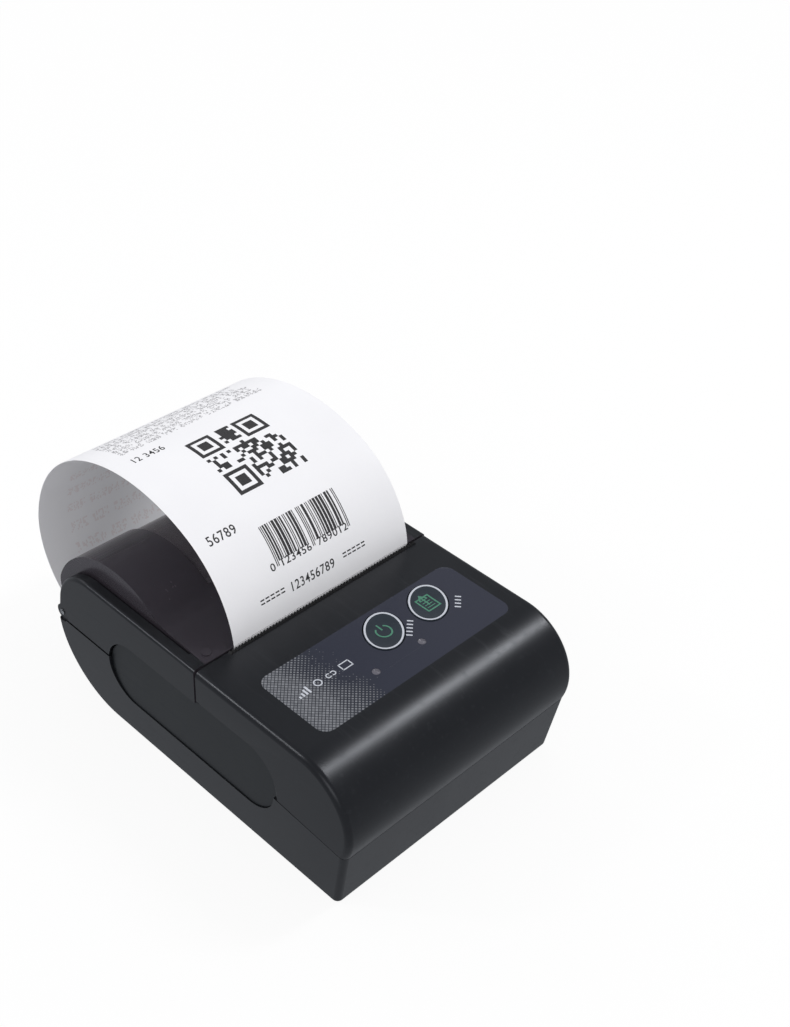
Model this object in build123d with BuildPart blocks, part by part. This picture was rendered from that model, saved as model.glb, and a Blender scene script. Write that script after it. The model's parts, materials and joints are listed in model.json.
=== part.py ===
# Portable receipt printer with a domed paper cover, printing on 57 mm wide paper rolls.
# The frame: X to the right seen from the front, Y to the rear, Z up. The origin lies on the
# underside, in the middle of the body. All sizes are in millimetres.
import os
from math import acos, asin, atan2, cos, degrees, hypot, pi, radians, sin, sqrt, tan

from build123d import *

os.makedirs("parts", exist_ok=True)

# Body, outside
top_width = 75.5
side_draft = 0.2
floor_draft = 0.95
parting_width = top_width - 2 * side_draft
floor_width = parting_width - 2 * floor_draft
top_height = 39.3
front_floor_y = -49.5
nose_radius = 15.8
nose_centre_y = -37.4
parting_height = 17.7
scoop_parting_height = 19.5
rear_parting_height = 21.3
rear_radius = 20.8
rear_centre_y = 30.6
seam_y = -2.8
seam_gap = 0.25
parting_gap = 0.12
case_wall = 1.6
corner_radius = 1.6
cheek_radius = 13.2
tail_slope = 9.76
floor_edge_radius = 0.8

# Finger scoops in both sides
scoop_front_y = -29.3
scoop_rear_y = 30.6
scoop_low = 11.0
scoop_high = 29.0
scoop_plate_inset = 2.35
scoop_recess = 0.85
scoop_panel_wall = 1.1
scoop_lap = 1.0
scoop_flare = 60.0
skirt_gap = 0.25

# Paper
paper_width = 57.0
paper_centre_x = 2.5
paper_thickness = 0.08
roll_diameter = 30.0
core_diameter = 12.4
core_bore = 10.0
core_gap = 0.05
roll_web_gap = 0.05
roll_seat_gap = 0.3

# Receipt: its curl is a chain of arcs, each a radius and the angle that it turns through
receipt_thickness = 0.1
receipt_start_angle = 82.0
receipt_arcs = [(29.2, 58.1), (47.1, 49.2), (38.6, 54.1), (24.8, 62.5)]
receipt_gap = 0.1

# Roll cover
cover_wall = 1.8
dome_wall = 2.2
dome_radius = 25.4
cheek_width = 3.45
dome_half_width = top_width / 2 - cheek_width
dome_ends = 25.0
tail_direction = 30.0
apron_slope = 2.5
apron_blend = 8.0
groove_width = 0.6
groove_depth = 0.8
groove_front_y = 2.5
cheek_edge_radius = 0.9
paper_slot = 0.6
window_half_width = 17.5
window_recess = 0.6
window_wall = 1.0
window_gap = 0.1
window_ledge = 1.5
window_front_angle = 124.0
window_rear_angle = 30.0
pip_radius = 1.3
pip_height = 0.3
pip_inset = 6.15
pip_y = 0.35

# Hinge
hinge_y = 50.1
hinge_height = 22.8
barrel_radius = 2.1
hinge_pin_radius = 0.8
hinge_fit = 0.05
hinge_room = 0.5
rim_room = 1.0
ear_wall = 2.0
ear_gap = 0.3
ear_foot = 6.0
pin_end_inset = 0.35

# Platen
platen_radius = 4.5
platen_drop = 7.8
platen_overhang = 0.5
platen_gap = 0.03
shaft_radius = 1.25
shaft_fit = 0.04
bushing_radius = 2.5
notch_gap = 0.1
bushing_gap = 0.3
shaft_overhang = 0.4
arm_wall = 1.0
arm_radius = 3.5
arm_gap = 0.4
plate_gap = 0.3
holder_plate = 1.1
holder_front = 2.5
holder_depth = 11.0
holder_screw_length = 2.1
apron_gap = 0.1

# Print head
ceramic_wall = 0.7
ceramic_drop = 4.9
ceramic_rise = 3.9
heater_proud = 0.13
heater_width = 1.2
head_gap = 0.02
sink_wall = 2.9
sink_drop = 8.7
sink_rise = 4.5
head_side_gap = 0.3
head_pin_radius = 0.75
head_pin_drop = 7.1
head_pin_fit = 0.05
driver_proud = 0.5
driver_drop = 4.7
driver_height = 1.8

# Mechanism frame, of sheet steel
left_plate_wall = 1.2
right_plate_wall = 0.8
frame_front_y = -13.2
frame_rear_y = 7.5
frame_low = 5.0
frame_rise = 2.1
frame_front_drop = 2.5
frame_cheek = 1.5
frame_wall = 1.0
foot_depth = 7.2
pin_head = 0.4

# Gears: all of one module and pressure angle
gear_module = 0.4
pressure_angle = 25.0
gear_width = 1.5
gear_gap = 0.3
layer_gap = 0.2
tooth_thinning = 0.06
tip_share = 0.9
root_share = 1.2
platen_teeth = 26
idler_small_teeth = 16
idler_large_teeth = 32
pinion_teeth = 14
idler_direction = 263.0
pinion_direction = 237.0
mesh_slack = 0.03
idler_pin_radius = 0.8
gear_bore_fit = 0.04
motor_shaft_radius = 0.75

# Motor
motor_radius = 6.5
motor_length = 12.0
motor_flange = 0.8
motor_boss_radius = 2.5
motor_ear_reach = 8.3
motor_ear_radius = 1.6
motor_ear_lean = 45.0

# Paper guide under the web
guide_gap = 0.6
guide_wall = 1.2
guide_drop = 7.1
guide_side_gap = 0.4

# Roll bay side walls
bay_side_gap = 0.7
bay_side_wall = 1.2
bay_side_front = 9.0

# Tear bar
tooth_pitch = 0.95
tooth_height = 0.7
tear_bar_depth = 1.0
tear_bar_height = 3.4
tear_bar_overhang = 2.0
tear_rise = 0.5

# Label and keys
label_x = 1.4
label_y = -25.7
label_width = 62.0
label_depth = 22.5
label_corner = 3.0
label_thickness = 0.3
power_key_x = 3.6
feed_key_x = 18.6
key_y = -21.8
key_half_width = 4.95
key_half_depth = 6.6
key_turn = 42.0
key_gap = 0.2
key_proud = 0.25
key_dish = 0.35
key_flange = 0.9
key_flange_wall = 0.7
key_travel = 0.5
key_stem_radius = 1.6
led_spots = [(7.6, -30.3), (-7.4, -30.3)]
pipe_radius = 1.0
pipe_gap = 0.1

# Main board
board_drop = 8.3
board_wall = 1.2
board_half_width = 28.4
board_front_y = -46.0
board_rear_y = -15.0
tongue_reach = 33.4
socket_y = -38.0
socket_width = 7.6
socket_height = 2.8
socket_gap = 0.2
socket_wall = 0.35
tongue_half = 3.4
switch_size = 4.5
switch_height = 2.6
switch_plunger_radius = 1.0
switch_plunger = 0.75
key_contact_gap = 0.05
lamp_height = 0.7
lamp_size = 1.6

socket_length = 7.8
socket_mouth_inset = 0.95
socket_pocket = 6.0
controller_spot = (-8.0, -38.0)
controller_size = 9.0
chip_height = 0.9
radio_spot = (-17.0, -30.0)
radio_width = 12.0
radio_depth = 9.0
radio_height = 2.0
plug_inset = 0.5
plug_depth = 3.0
plug_height = 2.0

# Head spring and flat cable
spring_thickness = 0.25
spring_drop = 11.5
spring_straight = 4.0
spring_radius = 3.0
spring_turn = 60.0
spring_x = 12.0
spring_width = 9.0
cable_thickness = 0.2
cable_half = 8.0
cable_radius = 2.0
cable_clearance = 1.2

# Battery, its bay and its door
battery_half_width = 26.0
battery_front_y = -47.0
battery_rear_y = -16.0
battery_low = 1.8
battery_height = 10.0
battery_gap = 0.6
battery_corner = 2.5
bay_wall = 1.2
door_wall = 1.2
door_gap = 0.25
door_rise = 0.2
door_pin_radius = 0.5
door_pin_fit = 0.05
door_pin_reach = 1.1
finger_notch_radius = 5.0
finger_notch_depth = 0.5
contact_wall = 0.4
contact_width = 1.6
contact_pitch = 4.0
contact_inset = 2.0

# Screws
case_screw_inset = 6.45
case_screw_front_y = -44.5
case_screw_rear_y = -17.2
case_post_radius = 2.6
case_screw_radius = 0.95
case_screw_head = 1.8
case_screw_head_wall = 1.5
case_screw_well = 2.0
case_screw_seat = 3.0
case_screw_length = 19.0
screw_fit = 0.05
small_screw_radius = 0.8
small_screw_head = 1.6
small_screw_head_wall = 0.9
small_screw_length = 4.0
board_boss_radius = 2.1
board_screws = [(-24.5, -40.0), (24.5, -40.0), (-24.5, -18.5)]
frame_screw_xs = (-22.0, 26.0)
frame_screw_inset = 3.8
frame_post_radius = 2.4
holder_screw_xs = (-20.0, 25.0)

# Worked out from the sizes above
far = 3 * top_height
rear_centre = (rear_centre_y, rear_radius)
nose_centre = (nose_centre_y, top_height - nose_radius)
cheek_rise = top_height - cheek_radius - rear_radius
cheek_step = rear_radius - cheek_radius
cheek_reach = (cheek_step - cheek_rise * sin(radians(tail_slope))) / cos(radians(tail_slope))
cheek_centre = (rear_centre_y + cheek_reach, rear_radius + cheek_rise)
nose_lean = degrees(asin((nose_centre[1] - parting_height) / nose_radius))
front_parting_y = nose_centre_y - nose_radius * cos(radians(nose_lean))
rear_parting_y = rear_centre_y + rear_radius
hinge_point = (hinge_y, hinge_height)
scoop_length = scoop_rear_y - scoop_front_y
scoop_depth = scoop_high - scoop_low
scoop_centre = ((scoop_front_y + scoop_rear_y) / 2, (scoop_low + scoop_high) / 2)
paper_left = paper_centre_x - paper_width / 2
paper_right = paper_centre_x + paper_width / 2
lid_front_y = seam_y - seam_gap + paper_slot
roll_centre = (rear_centre_y, case_wall + roll_seat_gap + roll_diameter / 2)
platen_height = top_height - platen_drop
platen_centre = (seam_y + paper_thickness / 2 + platen_gap + platen_radius, platen_height)
ceramic_low = platen_height - ceramic_drop
ceramic_high = platen_height + ceramic_rise
sink_low = platen_height - sink_drop
sink_high = platen_height + sink_rise
head_pin_height = platen_height - head_pin_drop
driver_low = platen_height - driver_drop
driver_high = driver_low + driver_height
frame_high = platen_height + frame_rise
frame_front_high = platen_height - frame_front_drop
guide_top = platen_height - guide_drop
spring_low = platen_height - spring_drop
board_low = top_height - board_drop
platen_left = paper_left - platen_overhang
platen_right = paper_right + platen_overhang
left_arm_x = platen_left - arm_gap
right_arm_x = platen_right + arm_gap
left_plate_x = left_arm_x - arm_wall - plate_gap
right_plate_x = right_arm_x + arm_wall + plate_gap
left_plate_outside = left_plate_x - left_plate_wall
right_plate_outside = right_plate_x + right_plate_wall
ceiling = top_height - case_wall
teeth_top = top_height + tear_rise
receipt_pivot = (seam_y, teeth_top + receipt_gap)
board_top = board_low + board_wall
key_top = top_height + key_proud
inner_layer_x = left_plate_outside - gear_gap
outer_layer_x = inner_layer_x - gear_width - layer_gap
scoop_plate_x = top_width / 2 - scoop_plate_inset
scoop_face_x = top_width / 2 - scoop_recess
panel_inside_x = scoop_plate_x - scoop_panel_wall
hinge_pin_reach = top_width / 2 - pin_end_inset
case_screw_x = top_width / 2 - case_screw_inset
socket_mouth_x = top_width / 2 - socket_mouth_inset
socket_inner_x = socket_mouth_x - socket_length


def pitch_radius(teeth):
    return gear_module * teeth / 2


def along(start, distance, direction):
    # The point at a distance from start, in a direction in degrees
    return (start[0] + distance * cos(radians(direction)), start[1] + distance * sin(radians(direction)))


idler_distance = pitch_radius(platen_teeth) + pitch_radius(idler_small_teeth) + mesh_slack
pinion_distance = pitch_radius(idler_large_teeth) + pitch_radius(pinion_teeth) + mesh_slack
idler_centre = along(platen_centre, idler_distance, idler_direction)
pinion_centre = along(idler_centre, pinion_distance, pinion_direction)


def save(part, name):
    part.label = name
    export_step(part, f"parts/{name}.step")


def side_block(points, x_low, x_high):
    # A block with an outline in the side view, between two X positions
    with BuildPart() as block:
        with BuildSketch(Plane.YZ.offset(x_low)):
            with BuildLine():
                Polyline(*points, close=True)
            make_face()
        extrude(amount=x_high - x_low)
    return block.part


def side_disc(centre, radius, x_low, x_high):
    # A cylinder along X
    with BuildPart() as disc:
        with BuildSketch(Plane.YZ.offset(x_low)):
            with Locations(centre):
                Circle(radius)
        extrude(amount=x_high - x_low)
    return disc.part


def side_half(height, upper):
    # Half the body's width at a height, for the lower shell or for the parts above it
    low_slope = (parting_width - floor_width) / 2 / parting_height
    high_slope = (top_width - parting_width) / 2 / (top_height - parting_height)
    slope = high_slope if upper else low_slope
    return parting_width / 2 + slope * (height - parting_height)


def body_form(inset=0.0, upper=True):
    # The whole body without its dome, every face moved in by the inset
    with BuildPart() as form:
        with BuildSketch(Plane.YZ):
            with BuildLine():
                front = Line((front_floor_y, 0), (front_parting_y, parting_height))
                nose = CenterArc(nose_centre, nose_radius, 180 + nose_lean, -(90 + nose_lean))
                cheek = CenterArc(cheek_centre, cheek_radius, 90, tail_slope - 90)
                back = CenterArc(rear_centre, rear_radius, tail_slope, -(tail_slope + 90))
                Line(nose @ 1, cheek @ 0)
                Line(cheek @ 1, back @ 0)
                Line(back @ 1, front @ 0)
            make_face()
            if inset:
                offset(amount=-inset, kind=Kind.INTERSECTION)
        extrude(amount=top_width, both=True)
        with BuildSketch(Plane.XZ):
            right = [(side_half(z, upper) - inset, z) for z in (-far, far)]
            with BuildLine():
                Polyline(*right, *[(-x, z) for x, z in reversed(right)], close=True)
            make_face()
        extrude(amount=far, both=True, mode=Mode.INTERSECT)
    return form.part


def below_parting(drop):
    # Everything under the parting line, itself moved down by the drop
    line = [(-far, parting_height - drop), (front_parting_y, parting_height - drop)]
    line += [(scoop_front_y, scoop_parting_height - drop)]
    line += [(rear_centre_y, rear_parting_height - drop), (far, rear_parting_height - drop)]
    return side_block([(-far, -far)] + line + [(far, -far)], -far, far)


def before_seam(y):
    # Everything in front of a Y position
    return side_block([(-far, -far), (y, -far), (y, far), (-far, far)], -far, far)


def scoop(side, from_x, to_x, margin=0.0, flare=0.0):
    # The long round-ended outline of a finger scoop, from one X to another on the named side
    right_plane = Plane.YZ.offset(from_x)
    left_plane = Plane(origin=(-from_x, 0, 0), x_dir=(0, 1, 0), z_dir=(-1, 0, 0))
    centre = scoop_centre if side > 0 else (scoop_centre[0], -scoop_centre[1])
    with BuildPart() as pocket:
        with BuildSketch(right_plane if side > 0 else left_plane):
            with Locations(centre):
                SlotOverall(scoop_length + 2 * margin, scoop_depth + 2 * margin)
        extrude(amount=to_x - from_x, taper=-flare)
    return pocket.part


def parting_at(y):
    # Height of the parting line at a Y position in the front half
    share = (y - front_parting_y) / (scoop_front_y - front_parting_y)
    if share <= 1:
        return parting_height + (scoop_parting_height - parting_height) * share
    share = (y - scoop_front_y) / (rear_centre_y - scoop_front_y)
    return scoop_parting_height + (rear_parting_height - scoop_parting_height) * share


def upright(spots, radius, z_low, z_high):
    # Round posts or holes of one radius at several places
    with BuildPart() as posts:
        with BuildSketch(Plane.XY.offset(z_low)):
            with Locations(*spots):
                Circle(radius)
        extrude(amount=z_high - z_low)
    return posts.part


def screws(spots, seat, radius, head_radius, head_wall, length, head_up=False):
    # Screws of one kind in one piece file; their heads lie below the seat, or above it
    up = -1 if head_up else 1
    with BuildPart() as set_of_screws:
        with BuildSketch(Plane.XY.offset(seat)):
            with Locations(*spots):
                Circle(head_radius)
        extrude(amount=-up * head_wall)
        with BuildSketch(Plane.XY.offset(seat)):
            with Locations(*spots):
                Circle(radius)
        extrude(amount=up * length)
        with BuildSketch(Plane.XY.offset(seat - up * head_wall)):
            with Locations(*spots):
                RegularPolygon(head_radius / 2, 6)
        extrude(amount=up * head_wall / 2, mode=Mode.SUBTRACT)
    return set_of_screws.part


def ribbon(start, heading, pieces, thickness, x_low, x_high):
    # A thin strip drawn by its middle line: each piece is a straight (None, length)
    # or a turn (radius, angle), to the left when the angle is positive
    with BuildPart() as strip:
        with BuildSketch(Plane.YZ.offset(x_low)):
            with BuildLine():
                ends = []
                for side in (-1, 1):
                    direction = heading
                    point = along(start, side * thickness / 2, heading + 90)
                    first = point
                    for radius, turn in pieces:
                        if radius is None:
                            ahead = along(point, turn, direction)
                            Line(point, ahead)
                            point = ahead
                        else:
                            bend = 1 if turn > 0 else -1
                            reach = radius - side * bend * thickness / 2
                            centre = along(point, bend * reach, direction + 90)
                            CenterArc(centre, reach, direction - bend * 90, turn)
                            direction += turn
                            point = along(centre, -bend * reach, direction + 90)
                    ends.append((first, point))
                Line(ends[0][0], ends[1][0])
                Line(ends[0][1], ends[1][1])
            make_face()
        extrude(amount=x_high - x_low)
    return strip.part


# Lower shell: floor, walls, roll bay sides, battery bay, screw posts and hinge ears
bay_roof = battery_low + battery_height
bay_left = paper_left - bay_side_gap
bay_right = paper_right + bay_side_gap
bay_half_width = battery_half_width + battery_gap
bay_front_y = battery_front_y - battery_gap
bay_rear_y = battery_rear_y + battery_gap
frame_screw_y = frame_front_y + frame_screw_inset
door_axis = (bay_rear_y - door_gap - door_wall / 2, door_rise + door_wall / 2)
ear_inside = dome_half_width + groove_width + ear_gap
case_posts = [(x, y) for x in (-case_screw_x, case_screw_x) for y in (case_screw_front_y, case_screw_rear_y)]


def bay_box(half_width, front_y, rear_y, z_low, z_high):
    # An upright box, the same on both sides
    with BuildPart() as box:
        with BuildSketch(Plane.XY.offset(z_low)):
            with Locations((0, (front_y + rear_y) / 2)):
                Rectangle(2 * half_width, rear_y - front_y)
        extrude(amount=z_high - z_low)
    return box.part


def roll_bay_sides():
    # Two walls that keep the roll in the middle, cut to the inside of the shell
    with BuildPart() as walls:
        outline = [(bay_side_front, case_wall / 2), (rear_parting_y, case_wall / 2)]
        outline += [(rear_parting_y, rear_parting_height - parting_gap)]
        outline += [(rear_centre_y - roll_diameter / 2, scoop_parting_height)]
        outline += [(bay_side_front, scoop_low)]
        for x_low in (bay_left - bay_side_wall, bay_right):
            add(side_block(outline, x_low, x_low + bay_side_wall))
        add(body_form(case_wall / 2, upper=False), mode=Mode.INTERSECT)
        room = barrel_radius + cover_wall + hinge_room
        add(side_disc(hinge_point, room, -far, far), mode=Mode.SUBTRACT)
    return walls.part


def hinge_ears():
    with BuildPart() as ears:
        foot = [(hinge_y - 0.9 * barrel_radius, hinge_height)]
        foot += [(hinge_y - 0.9 * barrel_radius, hinge_height - ear_foot)]
        foot += [(hinge_y + 0.3 * barrel_radius, hinge_height - ear_foot)]
        foot += [(hinge_y + 0.3 * barrel_radius, hinge_height)]
        for x_low in (ear_inside, -ear_inside - ear_wall):
            add(side_disc(hinge_point, barrel_radius, x_low, x_low + ear_wall))
            add(side_block(foot, x_low, x_low + ear_wall))
    return ears.part


with BuildPart() as base_shell:
    add(body_form(upper=False))
    add(below_parting(parting_gap), mode=Mode.INTERSECT)
    fillet(
        base_shell.edges().filter_by(
            lambda e: abs(e.center().X) > floor_width / 2 - case_wall
            and e.center().Y < front_floor_y + corner_radius
            and case_wall < e.center().Z < parting_height - case_wall
        ),
        radius=corner_radius,
    )
    fillet(
        base_shell.edges().filter_by(
            lambda e: abs(e.center().X) > floor_width / 2 - case_wall
            and e.center().Z < case_wall
            and front_floor_y + corner_radius < e.center().Y < rear_centre_y
        ),
        radius=floor_edge_radius,
    )
    add(body_form(case_wall, upper=False), mode=Mode.SUBTRACT)
    # Battery bay: a box round the pack, open at the bottom for the door
    add(bay_box(bay_half_width + bay_wall, bay_front_y - bay_wall, bay_rear_y + bay_wall,
                case_wall, bay_roof + bay_wall))
    add(bay_box(bay_half_width, bay_front_y, bay_rear_y, 0, bay_roof), mode=Mode.SUBTRACT)
    # Posts for the case screws and for the mechanism
    for spot in case_posts:
        add(upright([spot], case_post_radius, 0, parting_at(spot[1]) - parting_gap))
    frame_spots = [(x, frame_screw_y) for x in frame_screw_xs]
    add(upright(frame_spots, frame_post_radius, 0, frame_low))
    add(roll_bay_sides())
    add(upright(frame_spots, small_screw_radius + screw_fit, case_wall / 2, frame_low), mode=Mode.SUBTRACT)
    add(upright(case_posts, case_screw_radius + screw_fit, 0, far), mode=Mode.SUBTRACT)
    add(upright(case_posts, case_screw_well, 0, case_screw_seat), mode=Mode.SUBTRACT)
    # Scoop notches through the side walls
    for side in (-1, 1):
        add(scoop(side, scoop_plate_x, top_width), mode=Mode.SUBTRACT)
    # Room for the cover's barrel, and the ears that carry the hinge pin
    add(side_disc(hinge_point, barrel_radius + rim_room, -ear_inside, ear_inside), mode=Mode.SUBTRACT)
    add(side_disc(hinge_point, barrel_radius + hinge_room, -far, far), mode=Mode.SUBTRACT)
    add(hinge_ears())
    add(side_disc(hinge_point, hinge_pin_radius + hinge_fit, -far, far), mode=Mode.SUBTRACT)
    # Pin holes for the battery door
    door_hole_reach = bay_half_width + door_pin_reach
    add(
        side_disc(door_axis, door_pin_radius + door_pin_fit, -door_hole_reach, door_hole_reach),
        mode=Mode.SUBTRACT,
    )
save(base_shell.part, "base_shell")


# Upper housing: the front and top shell with both grip panels, open to the cover behind
housing_rear_y = seam_y - seam_gap
key_spots = {"power_key": (power_key_x, key_y), "feed_key": (feed_key_x, key_y)}
boss_top = top_height - case_wall / 2
tear_bar_left = paper_left - tear_bar_overhang
tear_bar_right = paper_right + tear_bar_overhang


def lap_zone():
    # Where the panels may lap behind other walls: the lower shell's and the housing's own
    with BuildPart() as zone:
        add(below_parting(parting_gap))
        add(before_seam(housing_rear_y))
    return zone.part


def grip_panel(side):
    # A plate that laps behind the walls, and the pad on it that fills the notch
    pad_inside_x = scoop_face_x - scoop_panel_wall
    with BuildPart() as panel:
        add(scoop(side, panel_inside_x, scoop_plate_x, margin=scoop_lap))
        add(lap_zone(), mode=Mode.INTERSECT)
        add(scoop(side, panel_inside_x, scoop_plate_x))
        add(scoop(side, scoop_plate_x, scoop_face_x, margin=-parting_gap))
        hollow = scoop(side, panel_inside_x, pad_inside_x, margin=-parting_gap - scoop_panel_wall)
        add(hollow, mode=Mode.SUBTRACT)
    return panel.part


def housing_bosses():
    # Bosses under the top for the case screws and the main board, kept inside the shell
    with BuildPart() as bosses:
        for spot in case_posts:
            add(upright([spot], case_post_radius, parting_at(spot[1]), boss_top))
        add(upright(board_screws, board_boss_radius, board_top, boss_top))
        add(body_form(case_wall / 2), mode=Mode.INTERSECT)
    return bosses.part


def key_hole(spot, margin, z_low, z_high):
    with BuildPart() as hole:
        with BuildSketch(Plane.XY.offset(z_low)):
            with Locations(spot):
                Ellipse(key_half_width + margin, key_half_depth + margin, rotation=-key_turn)
        extrude(amount=z_high - z_low)
    return hole.part


with BuildPart() as upper_housing:
    add(body_form())
    add(below_parting(0), mode=Mode.SUBTRACT)
    add(before_seam(housing_rear_y), mode=Mode.INTERSECT)
    fillet(
        upper_housing.edges().filter_by(
            lambda e: abs(e.center().X) > parting_width / 2 - case_wall
            and e.center().Y < housing_rear_y - seam_gap
            and e.center().Z > rear_parting_height + case_wall
        ),
        radius=corner_radius,
    )
    add(body_form(case_wall), mode=Mode.SUBTRACT)
    for side in (-1, 1):
        add(grip_panel(side))
        add(scoop(side, scoop_face_x, top_width / 2 + scoop_lap, flare=scoop_flare), mode=Mode.SUBTRACT)
    add(housing_bosses())
    screw_top = case_screw_seat + case_screw_length + screw_fit
    add(upright(case_posts, case_screw_radius + screw_fit, case_screw_seat, screw_top), mode=Mode.SUBTRACT)
    board_screw_top = board_low + small_screw_length + screw_fit
    add(upright(board_screws, small_screw_radius + screw_fit, board_low, board_screw_top), mode=Mode.SUBTRACT)
    # Label recess, keys, lamps, socket and the seat of the tear bar
    with BuildSketch(Plane.XY.offset(top_height)):
        with Locations((label_x, label_y)):
            RectangleRounded(label_width, label_depth, label_corner)
    extrude(amount=-label_thickness, mode=Mode.SUBTRACT)
    for spot in key_spots.values():
        add(key_hole(spot, key_gap, ceiling - case_wall, top_height), mode=Mode.SUBTRACT)
    add(upright(led_spots, pipe_radius + pipe_gap, ceiling - case_wall, top_height), mode=Mode.SUBTRACT)
    with BuildSketch(Plane.YZ.offset(panel_inside_x)):
        with Locations((socket_y, board_low - socket_height / 2)):
            RectangleRounded(socket_width + 2 * socket_gap, socket_height + 2 * socket_gap, socket_height / 3)
    extrude(amount=case_post_radius + case_wall, mode=Mode.SUBTRACT)
    with BuildSketch(Plane.XY.offset(ceiling - case_wall)):
        with Locations(((tear_bar_left + tear_bar_right) / 2, housing_rear_y - tear_bar_depth / 2)):
            Rectangle(tear_bar_right - tear_bar_left, tear_bar_depth)
    extrude(amount=3 * case_wall, mode=Mode.SUBTRACT)
save(upper_housing.part, "upper_housing")

# Tear bar: one row of teeth on a thin steel bar
with BuildPart() as tear_bar:
    bar_span = tear_bar_right - tear_bar_left
    tooth_count = round(bar_span / tooth_pitch)
    step = bar_span / tooth_count
    teeth = []
    for index in range(tooth_count):
        teeth.append((tear_bar_left + index * step, teeth_top - tooth_height))
        teeth.append((tear_bar_left + (index + 0.5) * step, teeth_top))
    teeth.append((tear_bar_right, teeth_top - tooth_height))
    teeth.append((tear_bar_right, teeth_top - tear_bar_height))
    teeth.append((tear_bar_left, teeth_top - tear_bar_height))
    with BuildSketch(Plane.XZ.offset(-housing_rear_y)):
        with BuildLine():
            Polyline(*teeth, close=True)
        make_face()
    extrude(amount=tear_bar_depth)
save(tear_bar.part, "tear_bar")

# Control label: a film flush with the top, with openings for the keys and the lamps
with BuildPart() as control_label:
    with BuildSketch(Plane.XY.offset(top_height)):
        with Locations((label_x, label_y)):
            RectangleRounded(label_width, label_depth, label_corner)
        with Locations(*key_spots.values()):
            Ellipse(key_half_width + key_gap, key_half_depth + key_gap, -key_turn, mode=Mode.SUBTRACT)
        with Locations(*led_spots):
            Circle(pipe_radius + pipe_gap / 2, mode=Mode.SUBTRACT)
    extrude(amount=-label_thickness)
save(control_label.part, "control_label")


def key_cap(spot):
    # A slightly dished cap, the flange that holds it in, and the stem over its switch
    flange_top = ceiling - key_gap
    flange_low = flange_top - key_flange_wall
    dish_radius = (key_half_depth**2 + key_dish**2) / 2 / key_dish
    with BuildPart() as cap:
        add(key_hole(spot, 0, flange_low, key_top))
        add(key_hole(spot, key_flange, flange_low, flange_top))
        stem_low = board_top + switch_height + switch_plunger + key_travel + key_contact_gap
        add(upright([spot], key_stem_radius, stem_low, flange_low))
        with Locations((spot[0], spot[1], key_top + dish_radius - key_dish)):
            Sphere(dish_radius, mode=Mode.SUBTRACT)
    return cap.part


for name, spot in key_spots.items():
    save(key_cap(spot), name)

save(upright(led_spots, pipe_radius, board_top + lamp_height + layer_gap, top_height), "status_lamp_pipes")


# Roll cover: two low cheeks, a groove beside each, and the dome with its sunken window
def dome_edge():
    # The side view of the apron, the dome and its tail down to the hinge barrel
    slope = (cos(radians(apron_slope)), sin(radians(apron_slope)))
    start = (lid_front_y, top_height)
    lifted = (start[0] - apron_blend * slope[1], start[1] + apron_blend * slope[0])
    away = (lifted[0] - rear_centre[0], lifted[1] - rear_centre[1])
    shadow = away[0] * slope[0] + away[1] * slope[1]
    reach = dome_radius + apron_blend
    run = -shadow - sqrt(shadow**2 - away[0] ** 2 - away[1] ** 2 + reach**2)
    blend_centre = (lifted[0] + run * slope[0], lifted[1] + run * slope[1])
    meets = degrees(atan2(blend_centre[1] - rear_centre[1], blend_centre[0] - rear_centre[0]))
    tail_end = along(hinge_point, barrel_radius, tail_direction)
    apron = Line(start, (start[0] + run * slope[0], start[1] + run * slope[1]))
    CenterArc(blend_centre, apron_blend, apron_slope - 90, meets - 90 - apron_slope)
    dome = CenterArc(rear_centre, dome_radius, meets, dome_ends - meets)
    tail = TangentArc(dome @ 1, tail_end, tangent=dome % 1)
    Polyline(tail @ 1, hinge_point, (lid_front_y, platen_height), apron @ 0)


def dome_form(inset, half_width):
    with BuildPart() as form:
        with BuildSketch(Plane.YZ):
            with BuildLine():
                dome_edge()
            make_face()
            if inset:
                offset(amount=-inset, kind=Kind.INTERSECTION)
        extrude(amount=half_width, both=True)
    return form.part


def window_band(inner, outer, half_width, margin):
    # A band of the dome between the window's two ends, widened by a margin at each end
    turn = degrees(margin / dome_radius)
    start_angle = window_front_angle + turn
    end_angle = window_rear_angle - turn
    with BuildPart() as band:
        with BuildSketch(Plane.YZ):
            with BuildLine():
                upper = CenterArc(rear_centre, outer, start_angle, end_angle - start_angle)
                lower = CenterArc(rear_centre, inner, start_angle, end_angle - start_angle)
                Line(upper @ 0, lower @ 0)
                Line(upper @ 1, lower @ 1)
            make_face()
        extrude(amount=half_width, both=True)
    return band.part


def slab(x_half, z_low, z_high):
    # A wide level layer
    with BuildPart() as layer:
        with BuildSketch(Plane.XY.offset(z_low)):
            Rectangle(2 * x_half, 2 * far)
        extrude(amount=z_high - z_low)
    return layer.part


def cheek_channel():
    # What is cut from between the cheeks, down to the bottom of the grooves
    with BuildPart() as channel:
        add(slab(dome_half_width + groove_width, -far, far))
        add(body_form(groove_depth), mode=Mode.SUBTRACT)
        add(before_seam(groove_front_y), mode=Mode.SUBTRACT)
    return channel.part


def cover_cavity():
    with BuildPart() as cavity:
        add(body_form(cover_wall))
        add(slab(far, -far, top_height - cover_wall - apron_gap), mode=Mode.INTERSECT)
        add(dome_form(dome_wall, dome_half_width - dome_wall))
    return cavity.part


window_outer = dome_radius - window_recess
window_inner = window_outer - window_wall
apron_underside = top_height - cover_wall - apron_gap
holder_front_y = platen_centre[0] + holder_front
holder_rear_y = holder_front_y + holder_depth
holder_screw_y = (holder_front_y + holder_rear_y) / 2
holder_spots = [(x, holder_screw_y) for x in holder_screw_xs]

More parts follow.
